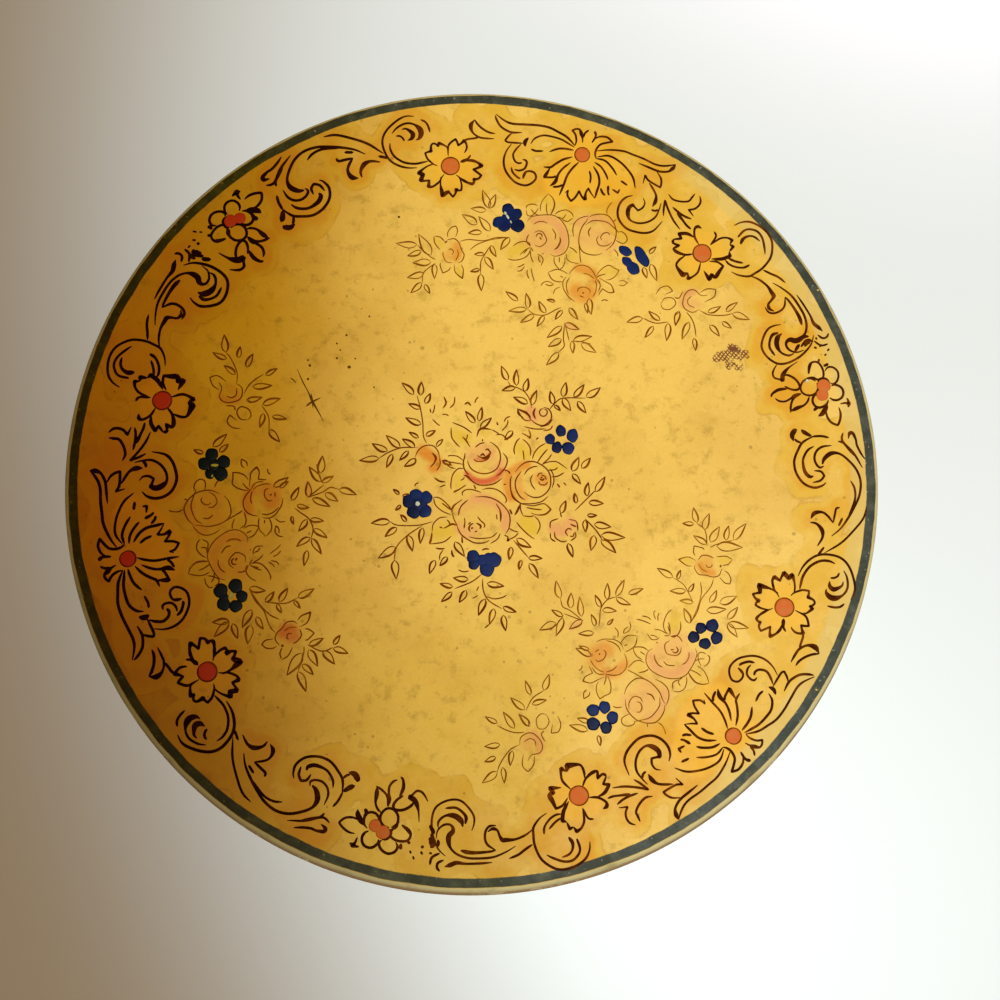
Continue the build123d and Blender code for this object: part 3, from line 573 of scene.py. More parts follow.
spray_leaves = [
    (-14.1, 60.1, -19.5, 60.5), (-10.5, 57.3, -13.8, 63), (-13, 58.5, -16.6, 57.1),
    (-10.5, 55.5, -15.2, 55.3), (-12.3, 52.6, -16.6, 51.4), (-12.9, 50.1, -15.7, 47.3),
    (-12.1, 49.6, -10.7, 47.1), (-9.6, 55, -9.6, 51), (2.4, 63.4, -1.2, 63.2), (3, 57.6, 0.4, 57.6),
    (3.2, 56.9, 5.4, 53.5), (2.1, 52.4, 2.3, 47.8), (9.5, 62, 7.1, 58.7), (4.7, 60, 6.1, 56.8),
    (1.9, 53.6, -0.6, 53), (4.3, 69.8, 2.5, 74.8), (4.3, 69.8, 6, 73.7), (3.5, 69.3, -0.5, 69.8),
    (1.2, 65.5, -2.7, 68.2), (4.5, 63.7, 1.5, 67.7), (11.6, 45.3, 8.4, 47.8), (14.1, 43.3, 13.6, 47.4),
    (13.8, 43.1, 9.1, 42.6), (15.7, 41.7, 12.1, 39.6), (18.6, 42.1, 16.8, 45.3), (18.2, 41.4, 16.3, 38.5),
    (21, 45.1, 18.8, 45.6), (22.9, 42.8, 20.9, 40.3), (24.5, 43.5, 26.8, 40.3), (23.4, 39.4, 27.1, 37.8),
    (22.7, 38.7, 18.8, 35.6), (22.5, 35.3, 19.1, 33.3), (21.8, 31.9, 18.6, 28.5), (25.2, 34.8, 25.4, 31.5),
    (25.5, 35, 30.3, 36), (27.5, 34.2, 31.3, 31.8), (29.6, 46, 30.1, 41.6), (28.6, 44.7, 29.2, 42),
    (43.1, 40.8, 39, 39.7), (47.5, 40.2, 44.6, 42.7), (45.8, 38.7, 43.5, 35.6), (49.6, 39.5, 49, 34.8),
    (65.8, 42, 70.2, 40.4), (64.2, 42.5, 67.3, 45), (63.1, 39.8, 65.6, 38.1), (60, 39, 62.5, 36),
    (59.6, 42.3, 63, 43.9), (56, 35.6, 56.3, 32.2), (54.8, 39.8, 52.9, 35.2), (52.3, 42.7, 51.3, 38.7),
    (45.4, 55.1, 46.8, 50.5), (43.5, 54.2, 44.3, 51.2), (45, 57.8, 46.9, 59.7),
]
middle_strokes = [
    [(0.8, 7.4), (2, 8.3), (3.2, 8.6)],
    [(4.4, 8.8), (5.5, 8.2), (6.6, 7), (7.1, 5.5), (7, 3.8), (6.3, 2.1), (4.9, 1.1), (3.2, 0.7), (1.4, 1),
     (-0.1, 1.9), (-0.9, 3.3), (-1, 4.1)],
    [(-1.7, 6), (-1.8, 4.9), (-2.1, 3.8), (-2, 2.3), (-1.4, 1.1), (-0.7, 0.4)],
    [(7.7, 6), (8.6, 4.9), (8.8, 3.6), (8.2, 2.1), (7.1, 0.8), (6.1, 0.1)],
    [(0.4, 4.5), (1.1, 3.9), (2.3, 3.8), (3.6, 4.2), (4.5, 5.1, 1.6)],
    [(1.4, 5.4), (2.1, 4.9), (3.3, 4.9), (4.4, 5.7), (4.7, 6.4, 1.6)],
    [(2.7, 6), (3.3, 5.1)],
    [(2.7, 9.5), (2.6, 8.9)],
    [(-2, 0.3), (-1.1, 0, 1.6), (0.1, -1.2), (1.7, -2.1), (3.8, -2.2), (5.8, -1.7), (7.6, -0.4)],
    [(0.5, -2.1), (1, -3.2, 1.6)],
    [(8, 1.7), (9.1, 1.3), (9.5, 0.7, 1.5)],
    [(7.9, -2), (8.5, -2)],
    [(-2.3, -4.9), (-2.3, -4), (-1.5, -3.4), (-0.1, -3.3), (1.4, -3.7), (2.3, -4.1)],
    [(2.6, -3.3), (4.1, -3), (5.8, -3.2), (7.3, -4), (8.3, -5.1), (8.6, -6.1), (8.2, -6.8)],
    [(0.8, -5.2), (2.9, -5.1), (4.7, -5.4), (6.4, -6.2), (7.9, -7.4), (9.1, -9), (9.5, -10.9), (9.2, -13),
     (8.3, -14.6)],
    [(-2.3, -5.8), (-3.6, -6.7), (-4.6, -7.6, 1.7), (-5.1, -9.2)],
    [(-3.6, -12.4), (-3.2, -13.6), (-2.4, -14.8), (-0.9, -15.9), (0.8, -16.7), (2.9, -16.7), (4.4, -16.1)],
    [(-0.9, -5.9), (-2.3, -7.1), (-3, -8.3), (-3.3, -9.8, 1.6)],
    [(6, -6.8), (6.9, -8.3), (7.2, -9.8, 1.5), (7.1, -11.5)],
    [(6.1, -9.5), (6.3, -10.9)],
    [(-0.7, -15.2), (1.4, -15.6), (3.8, -15.5), (5.2, -15.1), (6.4, -14)],
    [(-1.8, -10.4), (-1.7, -11.5), (-1.9, -13.1, 1.6)],
    [(-0.2, -11.5), (-0.9, -12.1)],
    [(0, -12.8, 1.7), (0.2, -13.2, 1.7)],
    [(1.4, -10.1), (2.2, -11.1), (3.2, -12.1), (3, -13)],
    [(1.1, -11.7), (2.2, -12.4, 1.6), (2, -13.3)],
    [(-2.4, -15.1), (-2.3, -16.8, 1.6)],
    [(8, -14.8), (8.9, -15.2), (8.9, -16.2, 1.6), (9.6, -15.6)],
    [(9.2, -13), (10.4, -13.7), (11.6, -14)],
    [(10.8, 1.1), (12, 2.6), (13.5, 3.6), (15.2, 3.8), (16.7, 3.3), (18.2, 2.3), (19.2, 1), (19.6, -0.4),
     (19.5, -2.4), (18.6, -4), (17.1, -5.1), (15.5, -5.3), (14.1, -4.8), (13, -3.9)],
    [(9.9, 0.2), (9.6, -0.9), (9.6, -2.7), (9.8, -3.9), (10.4, -5.4, 1.6), (12, -6.7), (13.2, -7.1, 1.6)],
    [(12.3, 1.3), (11.3, -0.1), (10.8, -1.5), (11, -3.3), (12, -5.1), (13.2, -5.9)],
    [(13, 0.4), (13.9, 1.7), (15.2, 2.4), (16.4, 2.6)],
    [(15.2, 0.5), (14.6, -0.7), (14.9, -2.1), (15.8, -3.4)],
    [(16.3, -0.1), (16.7, 0.7), (17.6, 0.9)],
    [(16.6, -1.2), (17, -2), (18.2, -2.1), (18.9, -1.4)],
    [(17.1, -0.1), (17.6, -0.4)],
    [(12, -6.8, 1.6), (12.1, -8.3), (12.7, -9.9)],
    [(-14.2, 4.8), (-13.3, 6.7), (-11.7, 7.8), (-9.8, 7.8), (-8.5, 6.5), (-8, 4.6)],
    [(-10, 6.1), (-9, 4.8, 1.6), (-9.4, 3.4), (-10.4, 2.3)],
    [(-9, 7.5), (-8.5, 8.8), (-7.3, 9.4), (-7.7, 8.4), (-8.8, 7.4)],
    [(17.9, 17.7), (19.3, 17.1), (19.9, 15.7), (19.6, 14.3), (17.9, 13), (16.1, 13.4), (14.6, 14.6)],
    [(17.9, 17.3), (18.7, 16.9), (18.8, 16.1), (18.2, 15.4), (17.3, 15.5), (16.9, 16.3), (17.2, 17.1),
     (17.9, 17.3)],
    [(15.9, 17.5), (15.4, 16.1, 1.7), (15.9, 14.6)],
    [(13, 12.7), (15.7, 12.1), (18.6, 12.1)],
    [(11.4, 17.1), (11.6, 15.9), (12.9, 15)],
    [(12.1, 17), (13.8, 16.3), (14.3, 15)],
    [(19.4, -13.1), (19.6, -11.4), (21.5, -10.6)],
    [(24, -10.8), (25.9, -11.4), (26.3, -13.7, 1.6)],
    [(24.4, -12), (25.9, -12.7, 1.5)],
    [(23.8, -15), (23.2, -13.9), (24, -13.1), (24.8, -13.5)],
    [(25.5, -13.9), (25.7, -15.2), (24.4, -16.2)],
    [(19.4, -14.1), (19.6, -15.6), (20.7, -16.4, 1.6)],
    [(20.5, -13.9), (20.7, -15.4), (22.3, -16.4), (23.6, -16.2)],
    [(-7.1, 20.4), (-6.5, 18.8, 1.5), (-7.3, 17.3)],
    [(-4.3, 20.4), (-4.5, 18.6), (-5.6, 17.4)],
    [(-9.3, 18.4), (-9.5, 17), (-9.9, 16)],
    [(-10.5, 17.3), (-10.3, 16.2)],
    [(-9.9, 14.6), (-8.7, 13.4), (-8, 12.9)],
    [(-7.5, 15.8), (-6.5, 15.8), (-5.8, 15.4)],
    [(-1.9, 18.4), (-1, 18.8, 1.5), (-0.2, 18)],
    [(0.7, 18.7), (1, 19.6), (1.6, 20.3)],
    [(6, 10.6), (7.5, 10.6), (9, 9.2, 1.5)],
    [(6.2, 13.9), (6.5, 13, 1.6)],
    [(7.4, 11.5), (8.8, 13.2), (9, 14.5)],
    [(12.4, 11), (13.5, 10.5), (14.5, 9.8, 1.5), (14.6, 10.8), (14.1, 12)],
    [(16, 9.4), (16.6, 9.9, 1.5)],
    [(21.2, -1.8), (21.9, -2.8, 1.5)],
    [(22.8, -1.5), (23.5, -2.3)],
    [(-9.4, -0.3), (-8, -1.2, 1.5), (-6.5, -1.4)],
    [(-8, -2.7), (-6.5, -2.1)],
    [(3.7, -30), (5.5, -30.6), (7.5, -30.3), (8.7, -29.6)],
    [(1.8, -27.5), (1.2, -28.7)],
    [(0.3, -30.5), (1.6, -29.8)],
    [(-3.3, -23.4), (-2, -23.9), (-0.6, -23.7)],
    [(4.4, -36.9), (3.2, -37.8)],
    [(-5.2, 12.5), (-5.1, 10.2), (-4.3, 8.8), (-3, 7.4)],
    [(-5, 13.8), (-2, 12.5), (0, 11)],
    [(-0.4, 7.4), (-0.9, 8.2), (-1.5, 9.2, 1.6), (-2.4, 10.1)],
    [(10.7, 5.5), (10.5, 7), (11.1, 8.8), (12, 9.8)],
    [(12.6, 9.5), (13.8, 8.5), (14.6, 7), (14.6, 5.2)],
    [(13, 4.1), (12.9, 5.5), (12.7, 6.7)],
    [(15.1, 4.4), (15.5, 5.8), (16.7, 7.4), (18.5, 8.5)],
    [(17.6, 3.2), (19.1, 4.5), (19.9, 5.7)],
    [(16.3, 3.5), (17.4, 5.2), (18.9, 7)],
    [(17.4, 3), (18.5, 3.5), (19.9, 3.8), (21.4, 3.6), (23.8, 1.9)],
    [(18.8, 1.6), (20.5, 1.7), (21.4, 2.3)],
    [(19.8, -0.1), (21.4, 0.1), (23, 1)],
    [(-9.8, -14), (-9.5, -12), (-8, -10.5), (-6, -10.2)],
    [(-10.4, -17), (-7, -16.5), (-5, -15)],
    [(-3.6, -12.4), (-4.8, -12, 1.6), (-6.2, -12.7), (-7, -13.1)],
    [(11.1, -11.5), (12, -12.7), (13.8, -14.5), (15.5, -15.8)],
    [(15.5, -9.9), (16.6, -11.2), (16.9, -12.7), (16.1, -14.6)],
    [(12, -6.8), (14.6, -6.9), (17.2, -6.4), (19, -5)],
    [(1.2, 10), (1.8, 11.8, 1.5), (3, 12.2, 1.5), (5, 11.9)],
    [(-2.1, 4), (-3.6, 5.1), (-5.4, 5.3), (-6, 5.1)],
    [(-1.8, 3), (-4.5, 3.5), (-7.4, 4), (-5.5, 2.4), (-4, 2)],
    [(-1.9, 2), (-3.5, 1.9), (-4.8, 0.3), (-5.2, -2), (-5.1, -3.3)],
    [(-1.4, -2.1), (-3, -3.2), (-4.6, -4, 2)],
    [(-4.8, -8.8, 1.8), (-6.1, -7), (-7.9, -5.5), (-9.5, -5.2)],
    [(-9.5, -5.2), (-9, -7.2), (-7.2, -8.8), (-5, -9.7)],
    [(-5.2, -8.5), (-6.5, -7.4), (-7.4, -6.7)],
    [(13, -7.1), (15.2, -7.4), (17.4, -6.9), (18.4, -7.1), (19.6, -8.3, 1.5), (18.3, -9.5, 1.5), (16.3, -9.7),
     (14.6, -9.2)],
    [(-14, 7.3), (-17.5, 7.3), (-20.8, 6.1), (-23.1, 4.6)],
    [(-11.3, 8.4), (-12.1, 10.3), (-12.3, 13.6), (-12.9, 17.3), (-13.8, 20.7)],
    [(-9.6, -11.4), (-13.3, -12.3), (-18.3, -12.3), (-20.2, -11.4)],
    [(-12.1, -12.3), (-15.8, -14.8), (-18.5, -17.7), (-19.1, -21.4)],
    [(2.5, -24.5), (0, -26.4), (-4.2, -28.1)],
    [(2.7, -25.6), (2.9, -28.5), (4.2, -31), (7.5, -33.1)],
    [(28.6, 20), (22.8, 20), (20.7, 18.6), (19.4, 17.1)],
    [(14.9, 17.4), (14.5, 19.5), (13.2, 21.6), (11.3, 22.7), (9.8, 23.1), (9, 24.4)],
    [(25.5, -8.7), (29, -5.2), (30.7, -3.5)],
    [(28, -10.6), (30.7, -13.5), (32.3, -16)],
    [(10.3, -16), (14, -20.4)],
    [(-1.1, 10.7), (-1.2, 10), (-1.4, 9.3)],
    [(2.1, 5.2), (2.6, 5.6, 1.5), (3.3, 5.3)],
    [(2.4, 4.5), (3.6, 4.7, 1.7), (4.6, 5.6)],
    [(3.3, 6.7), (4, 6.9, 1.4), (4.5, 6.2)],
    [(-1.8, -0.2), (-2.2, -0.7), (-2.8, -1)],
    [(-4.7, -8.6), (-4.6, -10.1), (-4.1, -11.4), (-3.5, -12.4)],
    [(0.5, -11.8), (-0.3, -12.2, 1.4), (-0.7, -13.1, 1.5), (-0.3, -14)],
    [(0.7, -14), (1.4, -13.7)],
    [(7.1, -14.3), (6.3, -15.8), (4.6, -16.9)],
    [(-9.8, -14), (-10, -15.6, 1.6), (-10.4, -17, 2)],
    [(-8, -12.7), (-7.2, -13)],
    [(-6.1, -10.9), (-5.6, -11.5), (-5.3, -12.2)],
    [(-8.9, -18), (-7.8, -18.2, 1.3), (-6.6, -18.1)],
    [(-7, -18.4), (-7.8, -19.7), (-7.9, -21)],
    [(-4.9, -18.4), (-4.8, -19.5, 1.8), (-4.3, -20.3, 1.6)],
    [(17.2, 0.4), (18.2, 0), (18.5, -0.9)],
    [(16.8, -0.5), (17.5, -0.9, 1.4), (18.1, -0.5)],
    [(19.4, 2), (20.2, 0.6), (20.4, -1.2), (19.9, -3)],
    [(9.4, -8.2), (9.7, -8.9, 1.5), (10, -9.6)],
    [(11.9, -7.2, 1.6), (11.3, -8.7, 1.8), (10.6, -9.8)],
    [(13.5, -7.8), (15.3, -8.2), (17.4, -8.4)],
    [(12.7, -9.9), (14.3, -10.1), (15.5, -9.9)],
    [(11.6, -14.2), (10.6, -15.2), (9.3, -15.8)],
    [(24.2, -15), (25.1, -15.1), (25.3, -14.2)],
    [(21.9, -9.2), (22.3, -10.3)],
    [(17, 12.6), (19, 13.2), (20.2, 14.6)],
    [(17.8, 11.6), (19.5, 12), (20.2, 13)],
    [(-8, 4.6), (-7.9, 3), (-8.8, 1.4)],
    [(-14.2, 4.8), (-14, 3.6)],
    [(8, 13.9), (8.6, 14.9), (9.6, 15.3)],
    [(5, 11.9), (6.2, 11.2), (7, 10.5)],
    [(-14.2, -2.6), (-13.9, -1.9), (-13.2, -1.6)],
    [(2.5, -18.6), (3.3, -18.2, 1.4), (4.4, -18.3)],
]
middle_leaves = [
    (-17.9, 7.3, -21.5, 10.5), (-21, 6.5, -25, 8.4), (-23.1, 4.6, -28.1, 4), (-19.8, 5.7, -21.3, 2.1),
    (-14.2, 7.3, -17.5, 9.6), (-15.8, 6.5, -18.1, 4), (-13.8, 4.4, -16.9, 2.5), (-14.6, 20.9, -17.7, 24),
    (-12.9, 20.7, -12.7, 24.3), (-11.7, 18.6, -10.4, 21.3), (-12.9, 17.3, -16, 18.6),
    (-12.7, 13.2, -16.7, 15), (-13.3, 9.8, -15.8, 11.3), (-11.5, 10.3, -9, 11.7), (-20.2, -11.4, -25, -11.8),
    (-18.5, -12.9, -21.5, -15.2), (-18.8, -17.7, -23.1, -20.6), (-19, -21, -18.5, -25.8),
    (-15.8, -14.8, -14.6, -18.9), (-12.1, -12.9, -12.7, -17), (-4.8, -28.9, -7.5, -31.4),
    (-4.6, -27.7, -7.9, -26.8), (-0.8, -25.8, -4.6, -25.4), (-1.3, -28.5, -3.1, -31.6),
    (3.8, -26.8, 8.1, -27.5), (3.4, -30.6, 1.7, -34.8), (7.7, -32.6, 11.1, -33.9), (7.8, -34.6, 8.4, -38.6),
    (5.5, -33, 4.4, -37), (-6, -20.2, -7.9, -22.5), (-9, -21, -10.4, -24.5), (-4.2, -16.4, -1.7, -20.2),
    (0.8, 13.6, -1.7, 16.7), (1.7, 14, 2.5, 17.8), (2.1, 12.3, 5, 15), (20.3, 18.4, 19.6, 21.9),
    (22.8, 20.3, 23.6, 24.2), (25.5, 20.3, 28.2, 23.6), (28.6, 20.3, 32.3, 22.8), (26.5, 19.2, 28.6, 16.1),
    (22.8, 20, 24.8, 16.7), (20.6, 18.2, 22.2, 16.7), (15, 18.2, 16.3, 22.1), (14, 18.6, 10.3, 20.3),
    (14.6, 14.2, 11.3, 17.3), (13.2, 21.7, 14.1, 25.2), (11.2, 23.2, 11.2, 27.5), (9, 24.6, 7.3, 28.4),
    (10.9, 22.8, 7.4, 21.9), (10.2, 11.6, 8.1, 9.2), (30.7, -3.9, 33.2, 0), (28.6, -5, 29, -1.4),
    (25.9, -6.8, 25.5, -4.1), (29, -6.6, 32.8, -6.8), (22.1, -9.3, 23.4, -6), (25, 1.3, 26.7, 5),
    (27.3, 2.1, 29.6, 4.8), (25, 0.7, 27.1, -2), (28.6, -9.8, 31.1, -9.8), (30.3, -12, 34.6, -12.7),
    (31.9, -14.8, 38, -15.4), (31.9, -16, 35.7, -19.3), (30.3, -14.8, 29.4, -18.7), (28, -11, 28.2, -14.1),
    (23.8, -16.8, 25, -20.4), (11.1, -15.6, 14.8, -17.9), (14, -20.5, 17.5, -20.6),
    (14.2, -21.8, 16.5, -25.6), (12.3, -21, 11.7, -23.5), (9.8, -17.7, 9.2, -21), (-17.2, -5, -15.5, -4.4),
    (-18, -4.6, -19.6, -3.2), (-17.6, -7.2, -19, -8.6), (-16.2, -11.4, -17.7, -9.6), (-7.4, 4, -5, 2.8),
]

# The pen: a line's width, how thin it is at its ends, how far its paint stands above the ground and
# reaches into it, and by how much one line's width and rise differ from another's
PEN_WIDTH = 0.68
PEN_END = 0.3
PEN_RISE = 0.04
PEN_EDGE_SINK, PEN_SINK = 0.02, 0.05
PEN_WIDTHS, PEN_RISES = (0.9, 1.1), (0.85, 1.15)
# A leaf: its width over its length, how far it may lean, how full its sides are and how much heavier
# one of them is drawn
LEAF_FATNESS = 0.34
LEAF_LEAN = 0.16
LEAF_SWELLS = (0.8, 1.15)
LEAF_HEAVY = 0.7
pen_random = np.random.default_rng(7)


def leaf_strokes(base_x, base_y, tip_x, tip_y):
    """The two sides of a leaf: each runs from base to tip and swells out between them, widest nearer
    the base and drawn in to a sharp tip. One side is heavier than the other."""
    share = np.linspace(0, 1, 7)
    belly = np.sin(np.pi * share**0.8) * (1.18 - 0.5 * share)
    along = np.array([tip_x - base_x, tip_y - base_y])
    across = np.array([-along[1], along[0]]) * LEAF_FATNESS / 2
    lean = pen_random.uniform(-LEAF_LEAN, LEAF_LEAN)
    heavy_side = pen_random.choice([-1, 1])
    sides = []
    for side in (-1, 1):
        swell = side * belly * pen_random.uniform(*LEAF_SWELLS) + lean * np.sin(np.pi * share)
        weight = 1 + (side == heavy_side) * LEAF_HEAVY * np.sin(np.pi * share)
        path = np.array([base_x, base_y]) + share[:, None] * along + swell[:, None] * across
        sides.append([tuple(mark) for mark in np.column_stack([path, weight])])
    return sides


def pen_line(path, width, place=FIRST_LAYING):
    """A stroke of paint: a low ridge along the path, as wide as the pen's weight there, thin at its
    ends. Its section has two edges sunk in the ground, two shoulders and an underside."""
    path = laid(path, place)
    step = np.gradient(path[:, :2], axis=0)
    step /= np.maximum(np.linalg.norm(step, axis=1, keepdims=True), 1e-6)
    across = np.column_stack([-step[:, 1], step[:, 0]])
    run = np.linspace(0, 1, len(path))
    taper = PEN_END + (1 - PEN_END) * np.clip(np.minimum(run, 1 - run) * 6, 0, 1) ** 0.7
    wide = (width * place[4] * path[:, 2] * taper * pen_random.uniform(*PEN_WIDTHS))[:, None]
    rise = PEN_RISE * pen_random.uniform(*PEN_RISES)
    section = [(0.0, -PEN_SINK), (0.5, -PEN_EDGE_SINK), (0.3, rise), (-0.3, rise), (-0.5, -PEN_EDGE_SINK)]
    rows = []
    for offset, height in section:
        ground = path[:, :2] + across * wide * offset
        rows.append(np.column_stack([ground, np.full(len(path), LID_TOP + height)]))
    return skin(np.stack(rows, 1))


def in_all_layings(strokes, width, places):
    """Every stroke of one sheet, in each of its three layings round the lid."""
    return [pen_line(curve_through(stroke), width, place) for place in places for stroke in strokes]


# The board's own surface: fine rings across the top, because the tints are stored at its points,
# then the rounded edge, the chamfer and the plain underside.
edge_middle = LID_RADIUS - LID_EDGE_ROUNDING, LID_TOP - LID_EDGE_ROUNDING
lid_profile = [(radius, LID_TOP) for radius in np.linspace(INNERMOST_RING, edge_middle[0], LID_RINGS)]
lid_profile += corner(*edge_middle, LID_EDGE_ROUNDING, EDGE_ROUNDED_FROM, 0)
lid_profile += [(LID_RADIUS, LID_UNDERSIDE + LID_UNDER_CHAMFER)]
lid_profile += [(LID_RADIUS - LID_UNDER_CHAMFER, LID_UNDERSIDE)]
lid_profile += [(radius, LID_UNDERSIDE) for radius in LID_UNDERSIDE_RINGS]
lid_skin = turned(lid_profile[::-1], LID_TURNS)


def reach(flat, stroke, place=FIRST_LAYING):
    """How far each point of the lid lies from a stroke, in millimetres."""
    path = laid(curve_through(stroke, 3), place)[:, :2]
    apart = flat[:, None, :] - path[None, :, :]
    return np.sqrt((apart**2).sum(2)).min(1)


def soft(distance, core, edge):
    """Full strength within the core distance, fading to nothing at the edge distance."""
    share = np.clip((edge - distance) / (edge - core), 0, 1)
    return share * share * (3 - 2 * share)


# The hand tints. Each touch of the brush is a stroke, the brush's size and how strong the colour is.
SPRAY_TINTS = {
    "pink": [
        ([(16, 66.5), (20, 66.6), (22.6, 64.4), (23.2, 61), (21.8, 58.6)], 1.6, 0.75),
        ([(15, 62), (18, 62), (19, 60)], 3.2, 0.45),
        ([(27, 65.8), (28.5, 66.8), (32, 67.2), (35, 65.6)], 1.4, 0.6),
        ([(29, 62), (33, 62), (34, 60.5)], 3.6, 0.42),
        ([(53.4, 44.5), (54.2, 46.8), (56, 47.8)], 1.3, 0.75),
        ([(56.5, 44.6), (55, 44)], 1.6, 0.5),
        ([(23.9, 39), (26.5, 38)], 0.8, 0.6),
    ],
    "orange": [
        ([(27, 54), (30, 53), (31.2, 51)], 1.6, 0.8),
        ([(26.4, 48), (28.2, 46.8), (29.6, 47.6)], 2.6, 0.75),
        ([(-4.2, 60), (-3.6, 58), (-4.2, 56.4)], 1.2, 0.8),
        ([(-6.4, 57), (-5, 58.4)], 1.6, 0.45),
    ],
    "leaf": [
        ([(10, 58), (13, 59.5)], 1.8, 0.75),
        ([(8, 61), (5, 58)], 1.6, 0.35),
        ([(-9, 61.5), (-8, 60)], 1.0, 0.7),
        ([(-3.6, 53.5), (-3.2, 52.4)], 1.0, 0.7),
        ([(18.9, 72), (19.2, 70)], 1.2, 0.5),
        ([(34, 53), (36, 53)], 1.3, 0.5),
        ([(52.5, 41), (54, 40)], 1.2, 0.45),
        ([(25.6, 57), (26.4, 58.4)], 1.3, 0.45),
    ],
}
MIDDLE_TINTS = {
    "pink": [
        ([(0.5, 5.5), (3, 6.5), (4.5, 5.5)], 2.4, 0.55),
        ([(6.2, 2), (7.4, 3.4)], 1.4, 0.7),
        ([(0.8, -5.6), (4, -5.8), (6.8, -7.6), (8.4, -10), (8.2, -12.6)], 1.5, 0.75),
        ([(-3, -13), (-1, -14.4), (0.4, -13.8)], 1.8, 0.6),
        ([(-2.4, -8), (0, -6.5), (4, -7)], 1.7, 0.4),
        ([(14.8, 16.6), (15.2, 15.2)], 1.9, 0.85),
        ([(17.6, 16), (18.6, 14.4)], 1.8, 0.4),
        ([(20.6, -13.2), (22.2, -13.6), (24.4, -11.8)], 2.0, 0.8),
    ],
    "orange": [
        ([(9.4, 1), (8.9, -1.8), (9.8, -5.2)], 1.5, 0.9),
        ([(10.8, 1.6), (12.4, 2.6), (13.6, 2.9)], 1.6, 0.85),
        ([(11.6, 0), (11.8, -3.4), (13, -5.2)], 1.4, 0.5),
        ([(16.8, -0.4), (18, -1)], 1.8, 0.7),
        ([(-12.2, 6.4), (-10.6, 5.4), (-8.8, 3.6), (-9.4, 2.4)], 1.9, 1.0),
    ],
    "rub": [
        ([(61.6, 30.4), (63.6, 31), (66, 30.8), (68.6, 31.2)], 2.1, 0.75),
        ([(64.6, 28.6), (67.2, 28)], 1.6, 0.7),
        ([(65, 32.8), (66.6, 32.6)], 1.5, 1.0),
    ],
    "red": [
        ([(-1.2, 0.6), (0.8, -0.9), (3.4, -1.3), (6, -0.3), (7.4, 1.4)], 1.0, 0.95),
        ([(1.4, 4.4), (3.2, 4.4), (4.4, 5.6)], 0.6, 0.8),
        ([(-45.4, -38), (-44, -39.6)], 2.3, 0.55),
    ],
    "leaf": [
        ([(-3.8, 10.6), (-1.6, 9.6)], 1.9, 0.75),
        ([(-3.6, -0.4), (-3, -1.8)], 1.7, 0.7),
        ([(-8.2, -14), (-5.6, -13.6)], 2.3, 0.85),
        ([(-8, -6.6), (-6.2, -7.8)], 1.2, 0.6),
        ([(12, 7.4), (13.2, 5.6)], 1.7, 0.85),
        ([(16.6, 5.8), (18.8, 7.4)], 1.1, 0.6),
        ([(20, 2.4), (22.4, 2)], 1.2, 0.75),
        ([(13.4, -11.6), (14.9, -13.2)], 2.2, 0.95),
        ([(15, -8.4), (17.6, -8.2)], 1.2, 0.6),
        ([(2.4, 11), (4.6, 11.2)], 0.8, 0.6),
        ([(22.2, 6.2), (22.9, 5)], 1.2, 0.6),
    ],
}
# Each wash is whole within its core distance of a line or a flower and gone at its edge distance
BORDER_FROM = 60
BORDER_WASH_CORE, BORDER_WASH_EDGE = 0.9, 6.4
FLOWER_WASH_CORE, FLOWER_WASH_EDGE = 4.8, 7.8
PETAL_CORE, PETAL_EDGE = 5.4, 6.6
FAN_STROKE = [(24, 77), (29, 76), (36, 78)]
FAN_WASH_CORE, FAN_PETAL_CORE, FAN_EDGE = 4, 5, 6.5
BRUSH_CORE, BRUSH_EDGE = 0.35, 1.25
WASH_NOISE = 1.5
# The wavering of the wash's edge: slow waves, each with its pace along x and along y and its start
WASH_WAVES = ((0.31, 0.17, 0.4), (-0.22, 0.41, 2.1), (0.53, -0.36, 4.0), (0.09, 0.12, 1.3))
# The brown painted shade on the left side: where it starts and is full, the share of it that is left
# at the back, the places between which it grows to the whole towards the front, and how far in it comes
LEFT_SHADE_FROM, LEFT_SHADE_FULL = -48, -66
LEFT_BACK_SHARE, LEFT_BACK, LEFT_FRONT = 0.35, 22, -12
LEFT_SHADE_INSIDE, LEFT_SHADE_OUTSIDE, LEFT_SHADE_WAVER = 74, 86, 2.5

flat = lid_skin[0][:, :2]
on_top = lid_skin[0][:, 2] > LID_TOP - LID_EDGE_ROUNDING
near_border = on_top & (np.hypot(*flat.T) > BORDER_FROM)
border = flat[near_border]
waver = sum(np.sin(flat[:, 0] * a + flat[:, 1] * b + c) * WASH_NOISE / 2 for a, b, c in WASH_WAVES)
border_waver = waver[near_border]
# Most are tints of paint; the left share is brown painted shade on the left side
TINT_NAMES = ("wash", "pink", "leaf", "red", "orange", "rub", "petal", "left")
tints = {name: np.zeros(len(flat)) for name in TINT_NAMES}


def tint(name, where, strength):
    """Lays a tint on some points of the board. Where two touches meet, the stronger one stays."""
    tints[name][where] = np.maximum(tints[name][where], strength)


